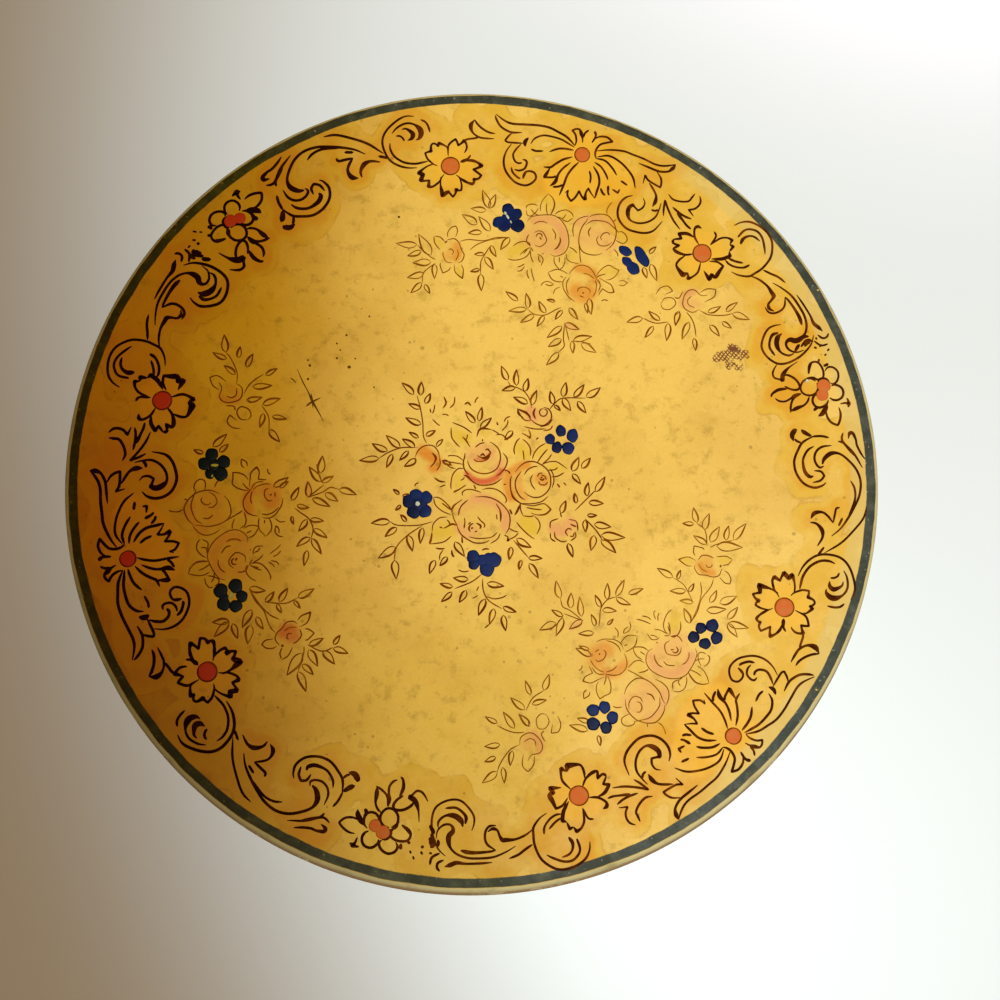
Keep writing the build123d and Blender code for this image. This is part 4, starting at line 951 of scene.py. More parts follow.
for strokes, places in ((long_scrolls + long_flowers, LONG_SHEET), (short_scrolls, SHORT_SHEET)):
    for place in places:
        for stroke in strokes:
            far = reach(border, stroke, place) + border_waver
            tint("wash", near_border, soft(far, BORDER_WASH_CORE, BORDER_WASH_EDGE))
for place in LONG_SHEET:
    for x, y, size in long_hearts:
        far = reach(border, [(x, y), (x + 0.1, y)], place)
        tint("wash", near_border, soft(far + border_waver, FLOWER_WASH_CORE, FLOWER_WASH_EDGE))
        tint("petal", near_border, soft(far, PETAL_CORE, PETAL_EDGE))
    far = reach(border, FAN_STROKE, place)
    tint("wash", near_border, soft(far + border_waver, FAN_WASH_CORE, FAN_EDGE))
    tint("petal", near_border, soft(far, FAN_PETAL_CORE, FAN_EDGE))
# Painted shade: a brown share on the left side, fullest towards the front
from_middle = np.hypot(*(flat - DESIGN_MIDDLE).T) + LEFT_SHADE_WAVER * waver
in_front = LEFT_BACK_SHARE + (1 - LEFT_BACK_SHARE) * soft(flat[:, 1], LEFT_FRONT, LEFT_BACK)
outside = 1 - soft(from_middle, LEFT_SHADE_INSIDE, LEFT_SHADE_OUTSIDE)
tints["left"] = soft(flat[:, 0], LEFT_SHADE_FULL, LEFT_SHADE_FROM) * on_top * in_front * outside
for group, places in ((SPRAY_TINTS, SPRAY_SHEET), (MIDDLE_TINTS, (FIRST_LAYING,))):
    for tint_name, touches in group.items():
        for place in places:
            for stroke, size, strength in touches:
                far = reach(flat[on_top], stroke, place)
                tint(tint_name, on_top, soft(far, size * BRUSH_CORE, size * BRUSH_EDGE) * strength)


def srgb(red, green, blue):
    """A colour given as it is seen on a screen, 0 to 255, as the linear values that shaders take."""
    seen = np.array([red, green, blue]) / 255
    linear = np.where(seen <= 0.04045, seen / 12.92, ((seen + 0.055) / 1.055) ** 2.4)
    return (*linear.tolist(), 1.0)


def calc(tree, operation, first, second=0.0):
    """One sum, difference, product or the like of two values."""
    return add(tree, "Math", {0: first, 1: second}, operation=operation).outputs[0]


def times(tree, first, second):
    """The product of two values."""
    return calc(tree, "MULTIPLY", first, second)


def mixed(tree, share, first, second):
    """The first colour where share is 0 and the second where it is 1."""
    made = add(tree, "Mix", {0: share, 6: first, 7: second}, data_type="RGBA")
    return made.outputs[2]


def multiplied(tree, share, color, factor):
    """The colour multiplied by a factor colour, as far as the share says."""
    made = add(tree, "Mix", {0: share, 6: color, 7: factor}, data_type="RGBA", blend_type="MULTIPLY")
    return made.outputs[2]


def graded(tree, value, low, high, start=0.0, end=1.0):
    """A smooth step from start to end as the value goes from low to high."""
    inputs = {"Value": value, "From Min": low, "From Max": high, "To Min": start, "To Max": end}
    return add(tree, "MapRange", inputs, interpolation_type="SMOOTHSTEP").outputs[0]


def cloud(tree, place, size_mm, detail=3.0, roughness=0.55, stretch=(1.0, 1.0, 1.0), shift=0.0):
    """Soft noise about 0.5 whose patches are this many millimetres across, drawn out by stretch."""
    moved = add(tree, "Mapping", {"Vector": place, "Location": (shift, shift, shift), "Scale": stretch})
    inputs = {"Vector": moved.outputs[0], "Scale": 1 / (size_mm * MM)}
    inputs |= {"Detail": detail, "Roughness": roughness}
    return add(tree, "TexNoise", inputs).outputs[0]


def bumped(tree, shader, height, depth_mm, strength=1.0):
    """Raises the surface by this height value times the depth."""
    inputs = {"Height": height, "Distance": depth_mm * MM, "Strength": strength}
    tree.links.new(add(tree, "Bump", inputs).outputs[0], shader.inputs["Normal"])


GROUND = srgb(236, 187, 86)
GROUND_SHADE = srgb(226, 175, 76)
GROUND_OLIVE = srgb(168, 128, 42)
WASH_ORANGE = srgb(222, 168, 48)
WASH_DEEP = srgb(218, 143, 22)
PETAL_ORANGE = srgb(237, 172, 46)
LEFT_SHADE_BROWN = srgb(192, 121, 48)
TIDE_BROWN = srgb(188, 128, 44)
ROSE_PINK = srgb(224, 144, 88)
ROSE_RED = srgb(208, 80, 46)
BUD_ORANGE = srgb(218, 128, 34)
LEAF_YELLOW = srgb(222, 174, 46)
SPECK_BROWN = srgb(108, 80, 28)
RIM_LINE_COLOR = srgb(58, 58, 44)
RIM_LINE_WORN = srgb(82, 80, 62)
RIM_FLECK = srgb(150, 146, 124)
EDGE_CREAM = srgb(198, 180, 128)
EDGE_GRIME = srgb(132, 112, 66)
EDGE_SHADE = (0.52, 0.52, 0.42, 1.0)
STRIP_COLOR = srgb(211, 178, 98)
RUB_BROWN = srgb(102, 44, 28)
# Where the painted shade on the cream edge starts and where it is full
EDGE_SHADE_FROM, EDGE_SHADE_FULL = 10, -90
STRIP_INNER, STRIP_WIDTH, STRIP_STRENGTH = 93.4, 1.4, 0.55
STRIP_FROM, STRIP_FULL = 38, 66
RIM_LINE_INNER, RIM_LINE_OUTER = 98.0, 100.25
RIM_LINE_INNER_BLUR, RIM_LINE_OUTER_BLUR = 0.12, 0.15
RIM_LINE_SHIFT = (-0.12 * MM, -0.2 * MM, 0.0)
RIM_LINE_WOBBLE = 0.9
# How wide the patches of each kind of unevenness are
BROAD_PATCH, MOTTLE_PATCH, UNEVEN_PATCH, SPECKLE_PATCH, GRAIN_PATCH = 34, 9, 7, 3.2, 0.55
BRUSH_MARK_WIDTH, BRUSH_MARK_STRETCH = 2.2, (0.35, 1.0, 1.0)
SPECK_SPACING, SPECK_STRENGTH = 3.1, 0.45
# The rubbed mark's two sets of lines, each with its slope and spacing
RUB_HATCH = ((1.0, 0.95), (-0.8, 1.1))
RUB_WANDER, RUB_STRENGTH = 0.9, 0.92
PAINT_SPECULAR = 0.05
LID_GLOSSY, LID_DULL = 0.34, 0.5
LID_RELIEF, LID_RELIEF_STRENGTH = 0.05, 0.35

# Old varnish with painted light, as filters over the paint: painted shade in amber on the left, in
# brown nearest the left rim and warm at the front, and a paler, bluer painted sheen on the right. A
# filter multiplies the colour, and its two numbers are where it starts and where it is full.
LEFT_SHADE_AMBER = (0.60, 0.45, 0.04, 1.0)
RIM_SHADE_BROWN = (0.98, 0.78, 0.08, 1.0)
RIGHT_SHEEN = (1.01, 1.03, 1.2, 1.0)
FRONT_SHADE_WARM = (0.83, 0.80, 0.50, 1.0)
AMBER_SHADE_FROM, AMBER_SHADE_FULL = -4, -62
RIM_SHADE_FROM, RIM_SHADE_FULL = -58, -94
SHEEN_FROM, SHEEN_FULL = 46, 80
FRONT_SHADE_FROM, FRONT_SHADE_FULL = -8, -64
FRONT_SHADE_WHOLE_TO, FRONT_SHADE_GONE_BY = 12, 46
# How far left all of them lie in front, the places between which that shift goes, and their drift
FRONT_SHIFT, SHIFTED_AT, UNSHIFTED_AT = -6, -60, -10
DRIFT_PATCH, DRIFT = 26, 22


def filled(tree, value, full_to, gone_by, most=1.0):
    """A share that is at its most up to the first place, and nothing from the second one on."""
    return graded(tree, value, full_to * MM, gone_by * MM, most, 0.0)


def along_x(tree, place):
    """How far a place lies to the right of the lid's axis."""
    return add(tree, "SeparateXYZ", {0: place}).outputs[0]


def centred(tree, value, size):
    """A noise value about 0.5 as one about 0, of this size."""
    return times(tree, calc(tree, "SUBTRACT", value, 0.5), size)


def under_varnish_and_painted_light(tree, place, color):
    """The paint's colour seen through the old varnish, with painted shade on the left and at the front
    and a painted sheen on the right. The edges of the filters drift to and fro with soft noise, and lie
    a little further left at the front."""
    x, y, _ = add(tree, "SeparateXYZ", {0: place}).outputs
    shift = graded(tree, y, SHIFTED_AT * MM, UNSHIFTED_AT * MM, FRONT_SHIFT * MM, 0.0)
    drift = centred(tree, cloud(tree, place, DRIFT_PATCH, shift=0.4), DRIFT * MM)
    x = calc(tree, "ADD", calc(tree, "SUBTRACT", x, shift), drift)
    # Painted shade on the left and at the front and a painted sheen on the right, with the varnish
    aged = multiplied(tree, filled(tree, x, AMBER_SHADE_FULL, AMBER_SHADE_FROM), color, LEFT_SHADE_AMBER)
    aged = multiplied(tree, filled(tree, x, RIM_SHADE_FULL, RIM_SHADE_FROM), aged, RIM_SHADE_BROWN)
    at_front = filled(tree, y, FRONT_SHADE_FULL, FRONT_SHADE_FROM)
    front_shade = times(tree, at_front, filled(tree, x, FRONT_SHADE_WHOLE_TO, FRONT_SHADE_GONE_BY))
    aged = multiplied(tree, front_shade, aged, FRONT_SHADE_WARM)
    return multiplied(tree, graded(tree, x, SHEEN_FROM * MM, SHEEN_FULL * MM), aged, RIGHT_SHEEN)


def stored_tints(tree, name):
    """Three of the tints, as they are stored at the board's points under this name."""
    stored = add(tree, "Attribute", attribute_name=name).outputs["Color"]
    return add(tree, "SeparateColor", {0: stored}).outputs


painted_lid, tree, shader, place = new_material("honey yellow paint under old varnish")
shader.inputs["Specular IOR Level"].default_value = PAINT_SPECULAR
wash, pink, leaf = stored_tints(tree, "tints")
red, orange, rub = stored_tints(tree, "more_tints")
# left: the share of brown painted shade on the left side
petal, left, _ = stored_tints(tree, "last_tints")
x, y, _ = add(tree, "SeparateXYZ", {0: place}).outputs
broad = cloud(tree, place, BROAD_PATCH)
mottle = cloud(tree, place, MOTTLE_PATCH, detail=6.0, roughness=0.62)
uneven = cloud(tree, place, UNEVEN_PATCH, detail=4.0, shift=0.5)
speckled = cloud(tree, place, SPECKLE_PATCH, detail=5.0, roughness=0.7, shift=0.31)
brush = cloud(tree, place, BRUSH_MARK_WIDTH, detail=4.0, stretch=BRUSH_MARK_STRETCH, shift=0.03)
fine = cloud(tree, place, GRAIN_PATCH)
# The ground, mottled with olive, and painted shade in brown on the left side
color = mixed(tree, graded(tree, broad, 0.4, 0.66), GROUND, GROUND_SHADE)
color = mixed(tree, graded(tree, mottle, 0.54, 0.78, 0.0, 0.3), color, GROUND_OLIVE)
color = mixed(tree, graded(tree, speckled, 0.5, 0.74, 0.0, 0.6), color, GROUND_OLIVE)
ragged = centred(tree, mottle, 0.8)
color = mixed(tree, times(tree, left, graded(tree, ragged, -0.2, 0.25, 0.5, 1.0)), color, LEFT_SHADE_BROWN)
# The orange wash: deeper close to the lines, with a brown tide mark at its edge
wash_edge = calc(tree, "ADD", wash, times(tree, ragged, 1.1))
wash_share = graded(tree, wash_edge, 0.3, 0.52)
laid_on = graded(tree, uneven, 0.34, 0.6, 0.35, 0.85)
color = mixed(tree, times(tree, wash_share, laid_on), color, WASH_ORANGE)
close_in = times(tree, graded(tree, wash_edge, 0.72, 1.1), graded(tree, broad, 0.4, 0.6, 0.15, 0.75))
color = mixed(tree, close_in, color, WASH_DEEP)
petal_share = times(tree, petal, graded(tree, uneven, 0.3, 0.6, 0.95, 0.55))
color = mixed(tree, petal_share, color, PETAL_ORANGE)
tide = times(tree, wash_share, calc(tree, "SUBTRACT", 1.0, wash_share))
tide = times(tree, tide, graded(tree, uneven, 0.44, 0.6, 0.3, 1.8))
color = mixed(tree, tide, color, TIDE_BROWN)
# The tints of the sprays and the middle bouquet, streaked by the brush
for share, tone in ((leaf, LEAF_YELLOW), (pink, ROSE_PINK), (orange, BUD_ORANGE), (red, ROSE_RED)):
    color = mixed(tree, times(tree, share, graded(tree, brush, 0.2, 0.6, 0.72, 1.0)), color, tone)
# Small brown specks and fine grain
speck_inputs = {"Vector": place, "Scale": 1 / (SPECK_SPACING * MM), "Randomness": 1.0}
specks = add(tree, "TexVoronoi", speck_inputs).outputs["Distance"]
speck_size = graded(tree, cloud(tree, place, 17, detail=2.0, shift=0.11), 0.42, 0.75, 0.02, 0.17)
speck_share = calc(tree, "LESS_THAN", specks, speck_size)
color = mixed(tree, times(tree, speck_share, SPECK_STRENGTH), color, SPECK_BROWN)
color = mixed(tree, graded(tree, fine, 0.25, 0.75, 0.0, 0.12), color, GROUND_OLIVE)
# The rubbed mark at the upper right: two crossing sets of wavering lines, and solid at its heart
hatch = None
wander = times(tree, cloud(tree, place, 1.6, detail=2.0), RUB_WANDER * MM)
for slope, pitch_mm in RUB_HATCH:
    run = calc(tree, "ADD", calc(tree, "ADD", x, wander), times(tree, y, slope))
    wave = calc(tree, "SINE", times(tree, run, 2 * np.pi / (pitch_mm * MM)))
    line = graded(tree, wave, -0.3, 0.7)
    hatch = line if hatch is None else calc(tree, "MAXIMUM", hatch, line)
dotted = centred(tree, cloud(tree, place, 1.3, detail=4.0, shift=0.9), 1.7)
rub_share = graded(tree, calc(tree, "ADD", rub, dotted), 0.42, 0.75)
rub_share = times(tree, rub_share, calc(tree, "MAXIMUM", hatch, graded(tree, rub, 0.8, 1.0)))
color = mixed(tree, times(tree, rub_share, RUB_STRENGTH), color, RUB_BROWN)
# The rim: a paler strip on the right, the dark line, chipped and flecked, and the cream edge, darkened
# towards the left by painted shade
moved = add(tree, "Mapping", {"Vector": place, "Location": RIM_LINE_SHIFT}).outputs[0]
flattened = add(tree, "VectorMath", {0: moved, 1: (1, 1, 0)}, operation="MULTIPLY").outputs[0]
radius = add(tree, "VectorMath", {0: flattened}, operation="LENGTH").outputs["Value"]
wobbly = calc(tree, "ADD", radius, centred(tree, mottle, RIM_LINE_WOBBLE * MM))
strip_end = STRIP_INNER + STRIP_WIDTH
strip_share = graded(tree, wobbly, STRIP_INNER * MM, strip_end * MM, 0.0, STRIP_STRENGTH)
strip_share = times(tree, strip_share, graded(tree, x, STRIP_FROM * MM, STRIP_FULL * MM))
color = mixed(tree, strip_share, color, STRIP_COLOR)
inner_from, inner_to = RIM_LINE_INNER - RIM_LINE_INNER_BLUR, RIM_LINE_INNER + RIM_LINE_INNER_BLUR
past_inner = graded(tree, wobbly, inner_from * MM, inner_to * MM)
outer_from, outer_to = RIM_LINE_OUTER - RIM_LINE_OUTER_BLUR, RIM_LINE_OUTER + RIM_LINE_OUTER_BLUR
short_of_outer = filled(tree, wobbly, outer_from, outer_to)
chips = graded(tree, cloud(tree, place, 2.4, detail=4.0, shift=0.2), 0.71, 0.75, 1.0, 0.0)
line_share = times(tree, times(tree, past_inner, short_of_outer), chips)
line_color = mixed(tree, graded(tree, speckled, 0.4, 0.7), RIM_LINE_COLOR, RIM_LINE_WORN)
flecks = graded(tree, cloud(tree, place, 0.9, detail=2.0, shift=0.6), 0.66, 0.74, 0.0, 0.7)
line_color = mixed(tree, flecks, line_color, RIM_FLECK)
color = under_varnish_and_painted_light(tree, place, mixed(tree, line_share, color, line_color))
edge_share = graded(tree, wobbly, (RIM_LINE_OUTER - 0.1) * MM, (RIM_LINE_OUTER + 0.3) * MM)
edge_color = mixed(tree, graded(tree, mottle, 0.5, 0.75, 0.0, 0.6), EDGE_CREAM, EDGE_GRIME)
# Painted shade: the cream edge darkens towards the left
edge_color = multiplied(tree, filled(tree, x, EDGE_SHADE_FULL, EDGE_SHADE_FROM), edge_color, EDGE_SHADE)
tree.links.new(mixed(tree, edge_share, color, edge_color), shader.inputs["Base Color"])
tree.links.new(graded(tree, mottle, 0.3, 0.75, LID_GLOSSY, LID_DULL), shader.inputs["Roughness"])
relief = calc(tree, "ADD", times(tree, brush, 0.6), times(tree, fine, 0.4))
bumped(tree, shader, relief, LID_RELIEF, LID_RELIEF_STRENGTH)

lid = piece("lid_painted_board", [lid_skin], "lid", painted_lid, replaces=("lid_board",))
for attribute_name, names in (
    ("tints", ("wash", "pink", "leaf")),
    ("more_tints", ("red", "orange", "rub")),
    ("last_tints", ("petal", "left")),
):
    values = np.ones((len(flat), 4), np.float32)
    values[:, : len(names)] = np.column_stack([tints[name] for name in names])
    attribute = lid.data.color_attributes.new(attribute_name, "FLOAT_COLOR", "POINT")
    attribute.data.foreach_set("color", values.ravel())

# The printed outlines as pieces: raised lines of oil paint that stand on the washes. They are
# near-black brown for the border, and a thinner, paler brown for the sprays and the middle bouquet.
FINE_PEN_WIDTH = 0.32
MIDDLE_PEN_WIDTH = 0.38
INK_DARK = srgb(62, 24, 3)
INK_BROWN = srgb(114, 54, 8)
INK_IN_SHADE = srgb(26, 7, 2)
FINE_INK_DARK = srgb(122, 64, 4)
FINE_INK = srgb(160, 102, 22)
MIDDLE_INK_DARK = srgb(104, 44, 2)
MIDDLE_INK = srgb(144, 76, 6)
# Where the painted shade on the ink starts and is full, and how much of it the border ink takes
INK_SHADE_FROM, INK_SHADE_FULL, BORDER_INK_SHADE = 12, -70, 0.8
INK_ROUGHNESS = 0.6
INK_SPECULAR = 0.0


def ink(name, dark, worn, shade_share=0.0):
    """Old brown printing paint that has rubbed thin in places, under the same varnish and painted
    light, with painted shade darkening it towards the left as far as the shade share says."""
    material, tree, shader, place = new_material(name)
    patches = cloud(tree, place, 4, detail=4.0)
    color = mixed(tree, graded(tree, patches, 0.44, 0.7), dark, worn)
    # Painted shade: the ink goes darker towards the left
    shade_on_left = filled(tree, along_x(tree, place), INK_SHADE_FULL, INK_SHADE_FROM, shade_share)
    color = mixed(tree, shade_on_left, color, INK_IN_SHADE)
    tree.links.new(under_varnish_and_painted_light(tree, place, color), shader.inputs["Base Color"])
    shader.inputs["Roughness"].default_value = INK_ROUGHNESS
    shader.inputs["Specular IOR Level"].default_value = INK_SPECULAR
    bumped(tree, shader, cloud(tree, place, 0.4, detail=2.0), 0.02, 0.4)
    return material


border_ink = ink("dark brown outline paint", INK_DARK, INK_BROWN, BORDER_INK_SHADE)
spray_ink = ink("pale brown outline paint", FINE_INK_DARK, FINE_INK)
middle_ink = ink("brown outline paint", MIDDLE_INK_DARK, MIDDLE_INK)
scrolls = in_all_layings(long_scrolls, PEN_WIDTH, LONG_SHEET)
scrolls += in_all_layings(short_scrolls, PEN_WIDTH, SHORT_SHEET)
piece("lid_border_scroll_outlines", scrolls, "lid", border_ink)
flowers = in_all_layings(long_flowers, PEN_WIDTH, LONG_SHEET)
flowers += in_all_layings(round_petalled_flower, PEN_WIDTH, SHORT_SHEET)
piece("lid_border_flower_outlines", flowers, "lid", border_ink)
spray = spray_strokes + [side for leaf in spray_leaves for side in leaf_strokes(*leaf)]
sprays = in_all_layings(spray, FINE_PEN_WIDTH, SPRAY_SHEET)
piece("lid_spray_outlines", sprays, "lid", spray_ink)
middle = middle_strokes + [side for leaf in middle_leaves for side in leaf_strokes(*leaf)]
middle_lines = [pen_line(curve_through(stroke), MIDDLE_PEN_WIDTH) for stroke in middle]
piece("lid_middle_bouquet_outlines", middle_lines, "lid", middle_ink)

# The flowers' hearts: a dab of thick orange-red paint in the middle of each border flower, set on
# wet over the washes, with a fine brown ring drawn round those of the long sheet.
HEART_HEIGHT = 0.12
HEART_ORANGE = srgb(203, 95, 33)
HEART_WORN = srgb(197, 106, 43)
HEART_IN_SHADE = srgb(202, 42, 10)
# Where the painted shade on the hearts starts and is full, and how much of it there is
HEART_SHADE_FROM, HEART_SHADE_FULL, HEART_SHADE_SHARE = -20, -70, 0.8
HEART_ROUGHNESS = 0.5
DAB_RINGS = 7
DAB_TURNS = 40
DAB_FLATNESS = 0.3
DAB_SINK = 0.03


def dab(x, y, radius, height, uneven=0.05, place=FIRST_LAYING, length=None, lean=0.0):
    """A drop of paint: a low dome whose height is a flat power of one less the square of the share
    of its radius, with a wavy outline. It may be drawn out to a length that leans by some degrees."""
    x, y = laid(np.array([[x, y]], float), place)[0]
    share = np.linspace(1, 0.06, DAB_RINGS)[:, None]
    angle = np.linspace(0, 2 * np.pi, DAB_TURNS, endpoint=False)
    phase = pen_random.uniform(0, 2 * np.pi, 3)
    waves = sum(np.sin(k * angle + phase[i]) for i, k in enumerate((2, 3, 5))) / 3
    wide = share * (1 + uneven * waves)
    along, across = wide * np.cos(angle) * (length or radius), wide * np.sin(angle) * radius
    lean = np.radians(lean)
    dome = (1 - (share * 0.999) ** 2) ** DAB_FLATNESS
    high = LID_TOP - DAB_SINK + (height + DAB_SINK) * dome + 0 * angle
    flat_x = x + along * np.cos(lean) - across * np.sin(lean)
    flat_y = y + along * np.sin(lean) + across * np.cos(lean)
    return skin(np.stack([flat_x, flat_y, high], -1))


def ring_line(x, y, radius):
    """A hand-drawn ring, as a stroke."""
    return [(x + radius * np.cos(a), y + radius * np.sin(a)) for a in np.radians(range(0, 375, 15))]


heart_paint, tree, shader, place = new_material("orange-red dabs")
patches = cloud(tree, place, 1.6)
color = mixed(tree, graded(tree, patches, 0.35, 0.7), HEART_ORANGE, HEART_WORN)
# Painted shade: the hearts turn a deeper red towards the left
shade_on_left = filled(tree, along_x(tree, place), HEART_SHADE_FULL, HEART_SHADE_FROM, HEART_SHADE_SHARE)
color = mixed(tree, shade_on_left, color, HEART_IN_SHADE)
tree.links.new(under_varnish_and_painted_light(tree, place, color), shader.inputs["Base Color"])
shader.inputs["Roughness"].default_value = HEART_ROUGHNESS
shader.inputs["Specular IOR Level"].default_value = PAINT_SPECULAR
bumped(tree, shader, cloud(tree, place, 0.5), 0.03, 0.5)
hearts = [dab(*heart, HEART_HEIGHT, place=place) for place in LONG_SHEET for heart in long_hearts]
hearts += [dab(*heart, HEART_HEIGHT, place=place) for place in SHORT_SHEET for heart in short_hearts]
piece("lid_flower_hearts", hearts, "lid", heart_paint)
rings = in_all_layings([ring_line(*heart) for heart in long_hearts], PEN_WIDTH / 2, LONG_SHEET)
piece("lid_flower_heart_rings", rings, "lid", middle_ink)

# The blue flowers: flat drops of thick blue enamel set on last, three to six to a flower, which
# run into each other. Each is a place, half its width, half its length and the way it leans.
ENAMEL_HEIGHT = 0.14
ENAMEL_UNEVENNESS = 0.09
ENAMEL_DARK = srgb(3, 8, 44)
ENAMEL_BLUE = srgb(15, 31, 80)
ENAMEL_PALE = srgb(30, 50, 100)
ENAMEL_IN_SHADE = srgb(12, 16, 20)
# Where the painted shade on the enamel starts and is full, and how much of it there is
ENAMEL_SHADE_FROM, ENAMEL_SHADE_FULL, ENAMEL_SHADE_SHARE = -16, -48, 0.9
ENAMEL_ROUGHNESS = 0.45
ENAMEL_SPECULAR = 0.06
enamel_drops = [
    (9.1, 69.6, 1.6), (11.2, 68.2, 1.45, 1.7, 60), (11.5, 65.2, 1.8), (8.1, 65.1, 1.6),
    (6.8, 66.2, 1.5, 1.8, 20), (9.4, 67.2, 1.9), (38.9, 58.5, 1.25, 1.85, -28), (43.1, 57, 1.45, 3.0, -62),
    (39.4, 55.6, 1.2, 1.6, -50), (40.9, 53.9, 1.5, 1.9, -50), (-13.8, -4.7, 1.6), (-11.3, -5.3, 1.6),
    (-11.6, -8.7, 1.7), (-14.4, -8.9, 1.75), (-15.6, -6.3, 1.7), (-13.3, -6.9, 2.3), (0.4, -20.2, 1.7),
    (0.6, -21.9, 1.5), (2.6, -21, 1.4), (5.5, -21, 1.9), (3.8, -23.2, 1.9), (4.2, -20.8, 1.7),
    (22.2, 11.6, 1.35, 1.5, 100), (25.1, 10.4, 1.5, 1.75, 80), (24, 7.2, 1.6), (21.2, 7.4, 1.35, 1.5, 70),
    (19.5, 9.5, 1.3, 1.4, 80), (56.2, -37.8, 1.35, 1.45, 90), (59, -37.2, 1.55, 1.7, 80),
    (60, -40.2, 1.5, 1.6, 70), (57.1, -41.6, 1.4, 1.5, 20), (54.4, -40, 1.45, 1.5, 110), (29.6, -57.8, 1.55),
    (32.4, -57.1, 1.4, 1.6, 90), (34.3, -59.6, 1.45, 1.6, 100), (32.7, -62, 1.5),
    (29.6, -61.1, 1.6, 1.7, 120), (-64.8, 5.5, 1.7), (-61.8, 3.7, 1.7), (-62.4, 0.6, 1.8), (-65.1, 0.6, 1.3),
    (-66.5, 3.2, 1.7), (-64.3, 2.9, 1.6), (-58, -27.4, 1.8), (-56.4, -30, 1.5), (-57.8, -32.4, 1.6),
    (-60.8, -31.9, 1.7), (-61.6, -28.6, 1.8), (-60.9, -30.2, 1.2),
]
enamel, tree, shader, place = new_material("thick blue enamel")
shades = cloud(tree, place, 16, detail=1.0, shift=0.23)
color = mixed(tree, graded(tree, shades, 0.42, 0.6), ENAMEL_DARK, ENAMEL_BLUE)
color = mixed(tree, graded(tree, cloud(tree, place, 1.4), 0.45, 0.8, 0.0, 0.3), color, ENAMEL_PALE)
# Painted shade: the enamel goes near black towards the left
shade_on_left = filled(tree, along_x(tree, place), ENAMEL_SHADE_FULL, ENAMEL_SHADE_FROM, ENAMEL_SHADE_SHARE)
color = mixed(tree, shade_on_left, color, ENAMEL_IN_SHADE)
tree.links.new(under_varnish_and_painted_light(tree, place, color), shader.inputs["Base Color"])
shader.inputs["Roughness"].default_value = ENAMEL_ROUGHNESS
shader.inputs["Specular IOR Level"].default_value = ENAMEL_SPECULAR
bumped(tree, shader, cloud(tree, place, 0.9, detail=2.0), 0.05, 0.4)


def drop_of(x, y, radius, length=None, lean=0.0, height=ENAMEL_HEIGHT):
    """One drop, from its line in a list."""
    return dab(x, y, radius, height, uneven=ENAMEL_UNEVENNESS, length=length, lean=lean)


piece("lid_blue_enamel_drops", [drop_of(*drop) for drop in enamel_drops], "lid", enamel)

# Pale dots: specks of thick cream paint set on last on the hearts of some blue flowers, and painted
# glints of light on the enamel of others. Each is a place, half its width, half its length and the way it
# leans.
PALE_CREAM = srgb(206, 204, 170)
PALE_GREY = srgb(180, 176, 140)
PALE_DOT_HEIGHT = ENAMEL_HEIGHT + 0.05
# The second, third, fourth, sixth and last are painted glints; the others are cream dots
pale_specks_and_glints = [
    (-13.4, -6.9, 0.72), (8.4, 68.5, 0.36, 0.5, 110), (9, 67.5, 0.36, 0.8, 118), (9.8, 66.2, 0.2, 0.5, 115),
    (84.2, 24.5, 0.45), (-64, 2.8, 0.42, 1.15, 0), (-59.1, -29.7, 0.6, 0.9, 70), (-64.5, 0.1, 0.25, 0.4, 90),
]
pale_paint, tree, shader, place = new_material("pale specks and painted glints")
color = mixed(tree, cloud(tree, place, 1), PALE_CREAM, PALE_GREY)
tree.links.new(under_varnish_and_painted_light(tree, place, color), shader.inputs["Base Color"])
shader.inputs["Specular IOR Level"].default_value = PAINT_SPECULAR
dots = [drop_of(*dot, height=PALE_DOT_HEIGHT) for dot in pale_specks_and_glints]
piece("lid_pale_specks_and_glints", dots, "lid", pale_paint)

# Damage in the old varnish: a star-shaped scratch with brown dirt in it, and brown specks round
# it. A scratch is a stroke, and a speck is a place and its radius.
SCRATCH_WIDTH = 0.3
SPECK_HEIGHT = 0.02
DIRT_LIGHT = srgb(120, 80, 20)
DIRT_DARK = srgb(78, 48, 10)
scratches = [
    [(-44, 27.5), (-42.4, 24, 1.2), (-41.2, 21.8), (-40, 19.2, 2.2), (-38.4, 16.4, 1.2), (-37, 13.8)],
    [(-41.6, 17.8), (-40.4, 18.8, 1.8), (-37.9, 20.1)],
    [(-40.4, 21.2), (-40, 19.4, 1.6), (-39.8, 17.4)],
    [(-45.6, 25.2), (-44.8, 24.6), (-44.2, 23.8)],
]
brown_specks = [
    (-40.8, 28.4, 0.4), (-41.2, 24.9, 0.36), (-30.9, 28, 0.5), (-34, 30.3, 0.34), (-31.7, 36.3, 0.34),
    (-34.1, 34.1, 0.3), (-18.8, 67.5, 0.4), (-41.3, 29.8, 0.28), (-33.2, 32.4, 0.26), (-29.4, 30.2, 0.26),
    (-24.6, 22.8, 0.26), (-26, 41.2, 0.28),
]
old_dirt, tree, shader, place = new_material("old brown dirt in the varnish")
color = mixed(tree, cloud(tree, place, 0.8), DIRT_LIGHT, DIRT_DARK)
tree.links.new(under_varnish_and_painted_light(tree, place, color), shader.inputs["Base Color"])
shader.inputs["Specular IOR Level"].default_value = INK_SPECULAR
damage = [pen_line(curve_through(stroke), SCRATCH_WIDTH) for stroke in scratches]
damage += [drop_of(*speck, height=SPECK_HEIGHT) for speck in brown_specks]
piece("lid_star_scratch_and_specks", damage, "lid", old_dirt)

